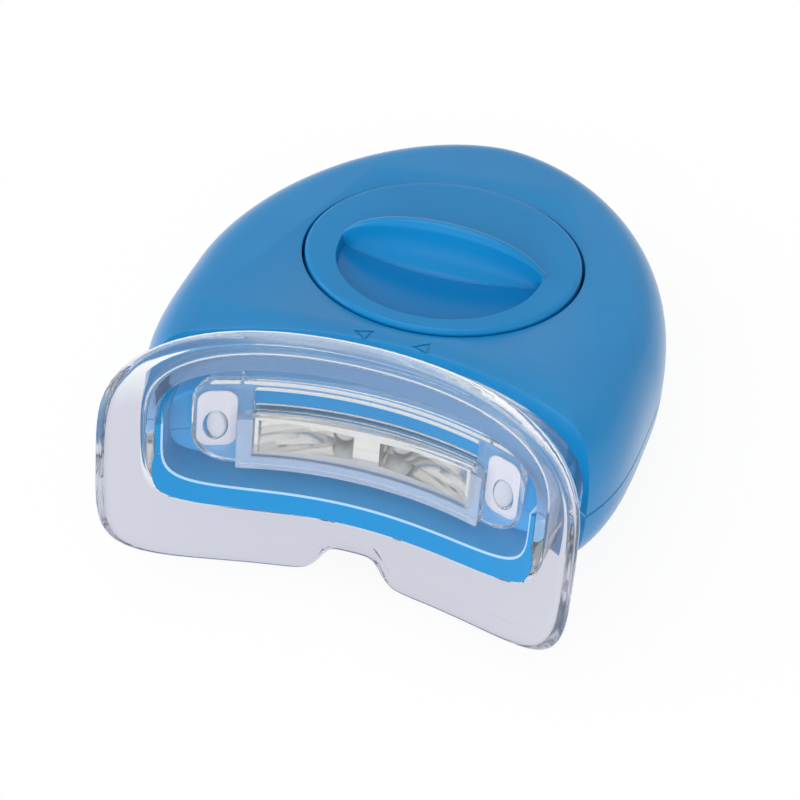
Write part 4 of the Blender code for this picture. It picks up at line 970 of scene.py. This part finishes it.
button = {"radius": 0.0049, "low": 0.0003, "dish": 0.0004, "dishHalf": 0.0044, "edge": 0.0005, "high": 0.0021,
          "flange": 0.0061, "flangeHigh": 0.0027}


def powerButton():
    radius, low, dish, edge = button["radius"], button["low"], button["dish"], button["edge"]
    profile = [(0.0002, low + dish)]
    profile += [(button["dishHalf"] * i / 8, low + dish * (1 - (i / 8) ** 2)) for i in range(1, 9)]
    for i in range(1, 6):
        turn = math.pi / 2 * i / 5
        profile.append((radius - edge + edge * math.sin(turn), low + edge * (1 - math.cos(turn))))
    profile += [(radius, button["high"]), (button["flange"], button["high"]),
                (button["flange"], button["flangeHigh"])]
    bm = turnedShape(profile, case["buttonMiddle"])
    return dress(asObject("powerButton", bm), blueButton, "button", ("power_button",), 40)


powerButton()
print("button done")


# Stage, lights and camera

stage = {
    "front": (0, -0.0280, -0.0001), "back": (0, 0.0290, 0.0082), "radius": 1.6, "tone": (0.9, 0.9, 0.91, 1),
    "fadeFrom": 0.042, "fadeTo": 0.075, "near": 0.90, "world": (0.95, 0.97, 1.0, 1), "worldStrength": 0.60,
    "aim": (0, 0, 0.01),
}
lamps = {                   # place, size and power
    "frontKey": ((0.0, -0.62, 0.14), 0.45, 3.1), "overhead": ((-0.10, 0.10, 0.60), 0.45, 0.95),
    "rightFill": ((0.50, -0.05, 0.16), 0.35, 0.25), "leftFill": ((-0.50, -0.10, 0.20), 0.35, 0.8),
}
view = {"azimuth": 13.33, "elevation": 34.68, "roll": 5.59, "distance": 0.3382, "lens": 120,
        "shift": (-0.0405, -0.0324)}


def seenRay(tree):
    # 1 for what the camera sees, straight or in gloss or through glass
    paths = nodeFrom(tree, "ShaderNodeLightPath").outputs
    either = combine(tree, "MAXIMUM", paths["Is Camera Ray"], paths["Is Glossy Ray"])
    return combine(tree, "MAXIMUM", either, paths["Is Transmission Ray"])


def paleFloor():
    # the plane that the lamp lies on: the shield's two lobes in front and the case's back edge
    front, back = Vector(stage["front"]), Vector(stage["back"])
    tilt = math.atan2(back.z - front.z, back.y - front.y)
    bm = bmesh.new()
    bmesh.ops.create_circle(bm, cap_ends=True, segments=96, radius=stage["radius"])
    bmesh.ops.rotate(bm, verts=bm.verts, cent=(0, 0, 0), matrix=Matrix.Rotation(tilt, 3, "X"))
    bmesh.ops.translate(bm, verts=bm.verts, vec=front)
    mesh = bpy.data.meshes.new("paleFloor")
    bm.to_mesh(mesh)
    bm.free()
    floor = bpy.data.objects.new("paleFloor", mesh)
    bpy.context.scene.collection.objects.link(floor)
    material, tree, shader = newMaterial("paleFloor")
    feed(shader, {"Base Color": stage["tone"], "Roughness": 0.9, "Specular IOR Level": 0})
    # white away from the object, with most of its shadow kept close to it
    away = nodeFrom(tree, "ShaderNodeVectorMath", {0: onObject(tree)}, operation="LENGTH").outputs["Value"]
    share = combine(tree, "MULTIPLY", seenRay(tree),
                    spread(tree, away, stage["fadeFrom"], stage["fadeTo"], stage["near"], 1.0))
    glow = nodeFrom(tree, "ShaderNodeEmission").outputs[0]
    above = nodeFrom(tree, "ShaderNodeMixShader", {0: share, 1: shader.outputs[0], 2: glow}).outputs[0]
    # from below, the floor lets everything through
    below = nodeFrom(tree, "ShaderNodeNewGeometry").outputs["Backfacing"]
    through = nodeFrom(tree, "ShaderNodeBsdfTransparent").outputs[0]
    sides = nodeFrom(tree, "ShaderNodeMixShader", {0: below, 1: above, 2: through})
    feed(tree.nodes["Material Output"], {"Surface": sides.outputs[0]})
    mesh.materials.append(material)
    return floor


def paleWorld():
    world = bpy.data.worlds.new("paleWorld")
    bpy.context.scene.world = world
    world.use_nodes = True
    tree = world.node_tree
    soft = feed(tree.nodes["Background"], {"Color": stage["world"], "Strength": stage["worldStrength"]})
    paleGrey = nodeFrom(tree, "ShaderNodeBackground")       # what is seen past the floor's edge
    mix = nodeFrom(tree, "ShaderNodeMixShader", {0: seenRay(tree), 1: soft.outputs[0], 2: paleGrey.outputs[0]})
    feed(tree.nodes["World Output"], {"Surface": mix.outputs[0]})


def softLamp(name, place, size, power):
    light = bpy.data.lights.new(name, "AREA")
    light.shape, light.size, light.energy = "SQUARE", size, power
    lamp = bpy.data.objects.new(name, light)
    bpy.context.scene.collection.objects.link(lamp)
    lamp.location = place
    lamp.rotation_euler = (Vector(stage["aim"]) - Vector(place)).to_track_quat("-Z", "Y").to_euler()
    lamp.visible_camera = False
    lamp.visible_transmission = False
    return lamp


def photoCamera():
    turn, rise = math.radians(view["azimuth"]), math.radians(view["elevation"])
    forward = Vector((-math.sin(turn) * math.cos(rise), math.cos(turn) * math.cos(rise), -math.sin(rise)))
    level = Vector((math.cos(turn), math.sin(turn), 0))
    upright = level.cross(forward)
    roll = math.radians(view["roll"])
    right = level * math.cos(roll) + upright * math.sin(roll)
    up = right.cross(forward)
    data = bpy.data.cameras.new("photoCamera")
    data.lens, data.sensor_width = view["lens"], 36
    data.shift_x, data.shift_y = view["shift"]
    data.clip_start, data.clip_end = 0.01, 10
    camera = bpy.data.objects.new("photoCamera", data)
    bpy.context.scene.collection.objects.link(camera)
    camera.matrix_world = Matrix((right, up, -forward)).transposed().to_4x4()
    camera.location = toFrame - forward * view["distance"]
    bpy.context.scene.camera = camera


paleFloor()
paleWorld()
for name, values in lamps.items():
    lamp = softLamp(name, *values)
    # the key's mirror image would lie as a haze on the fin and the clear walls
    lamp.visible_glossy = name != "frontKey"
photoCamera()
bpy.context.scene.view_settings.view_transform = "Standard"
bpy.context.scene.cycles.max_bounces = 24          # light runs a long way inside the clear walls
bpy.context.scene.cycles.glossy_bounces = 16
bpy.context.scene.cycles.transmission_bounces = 20
bpy.context.scene.cycles.transparent_max_bounces = 24
print("stage done")
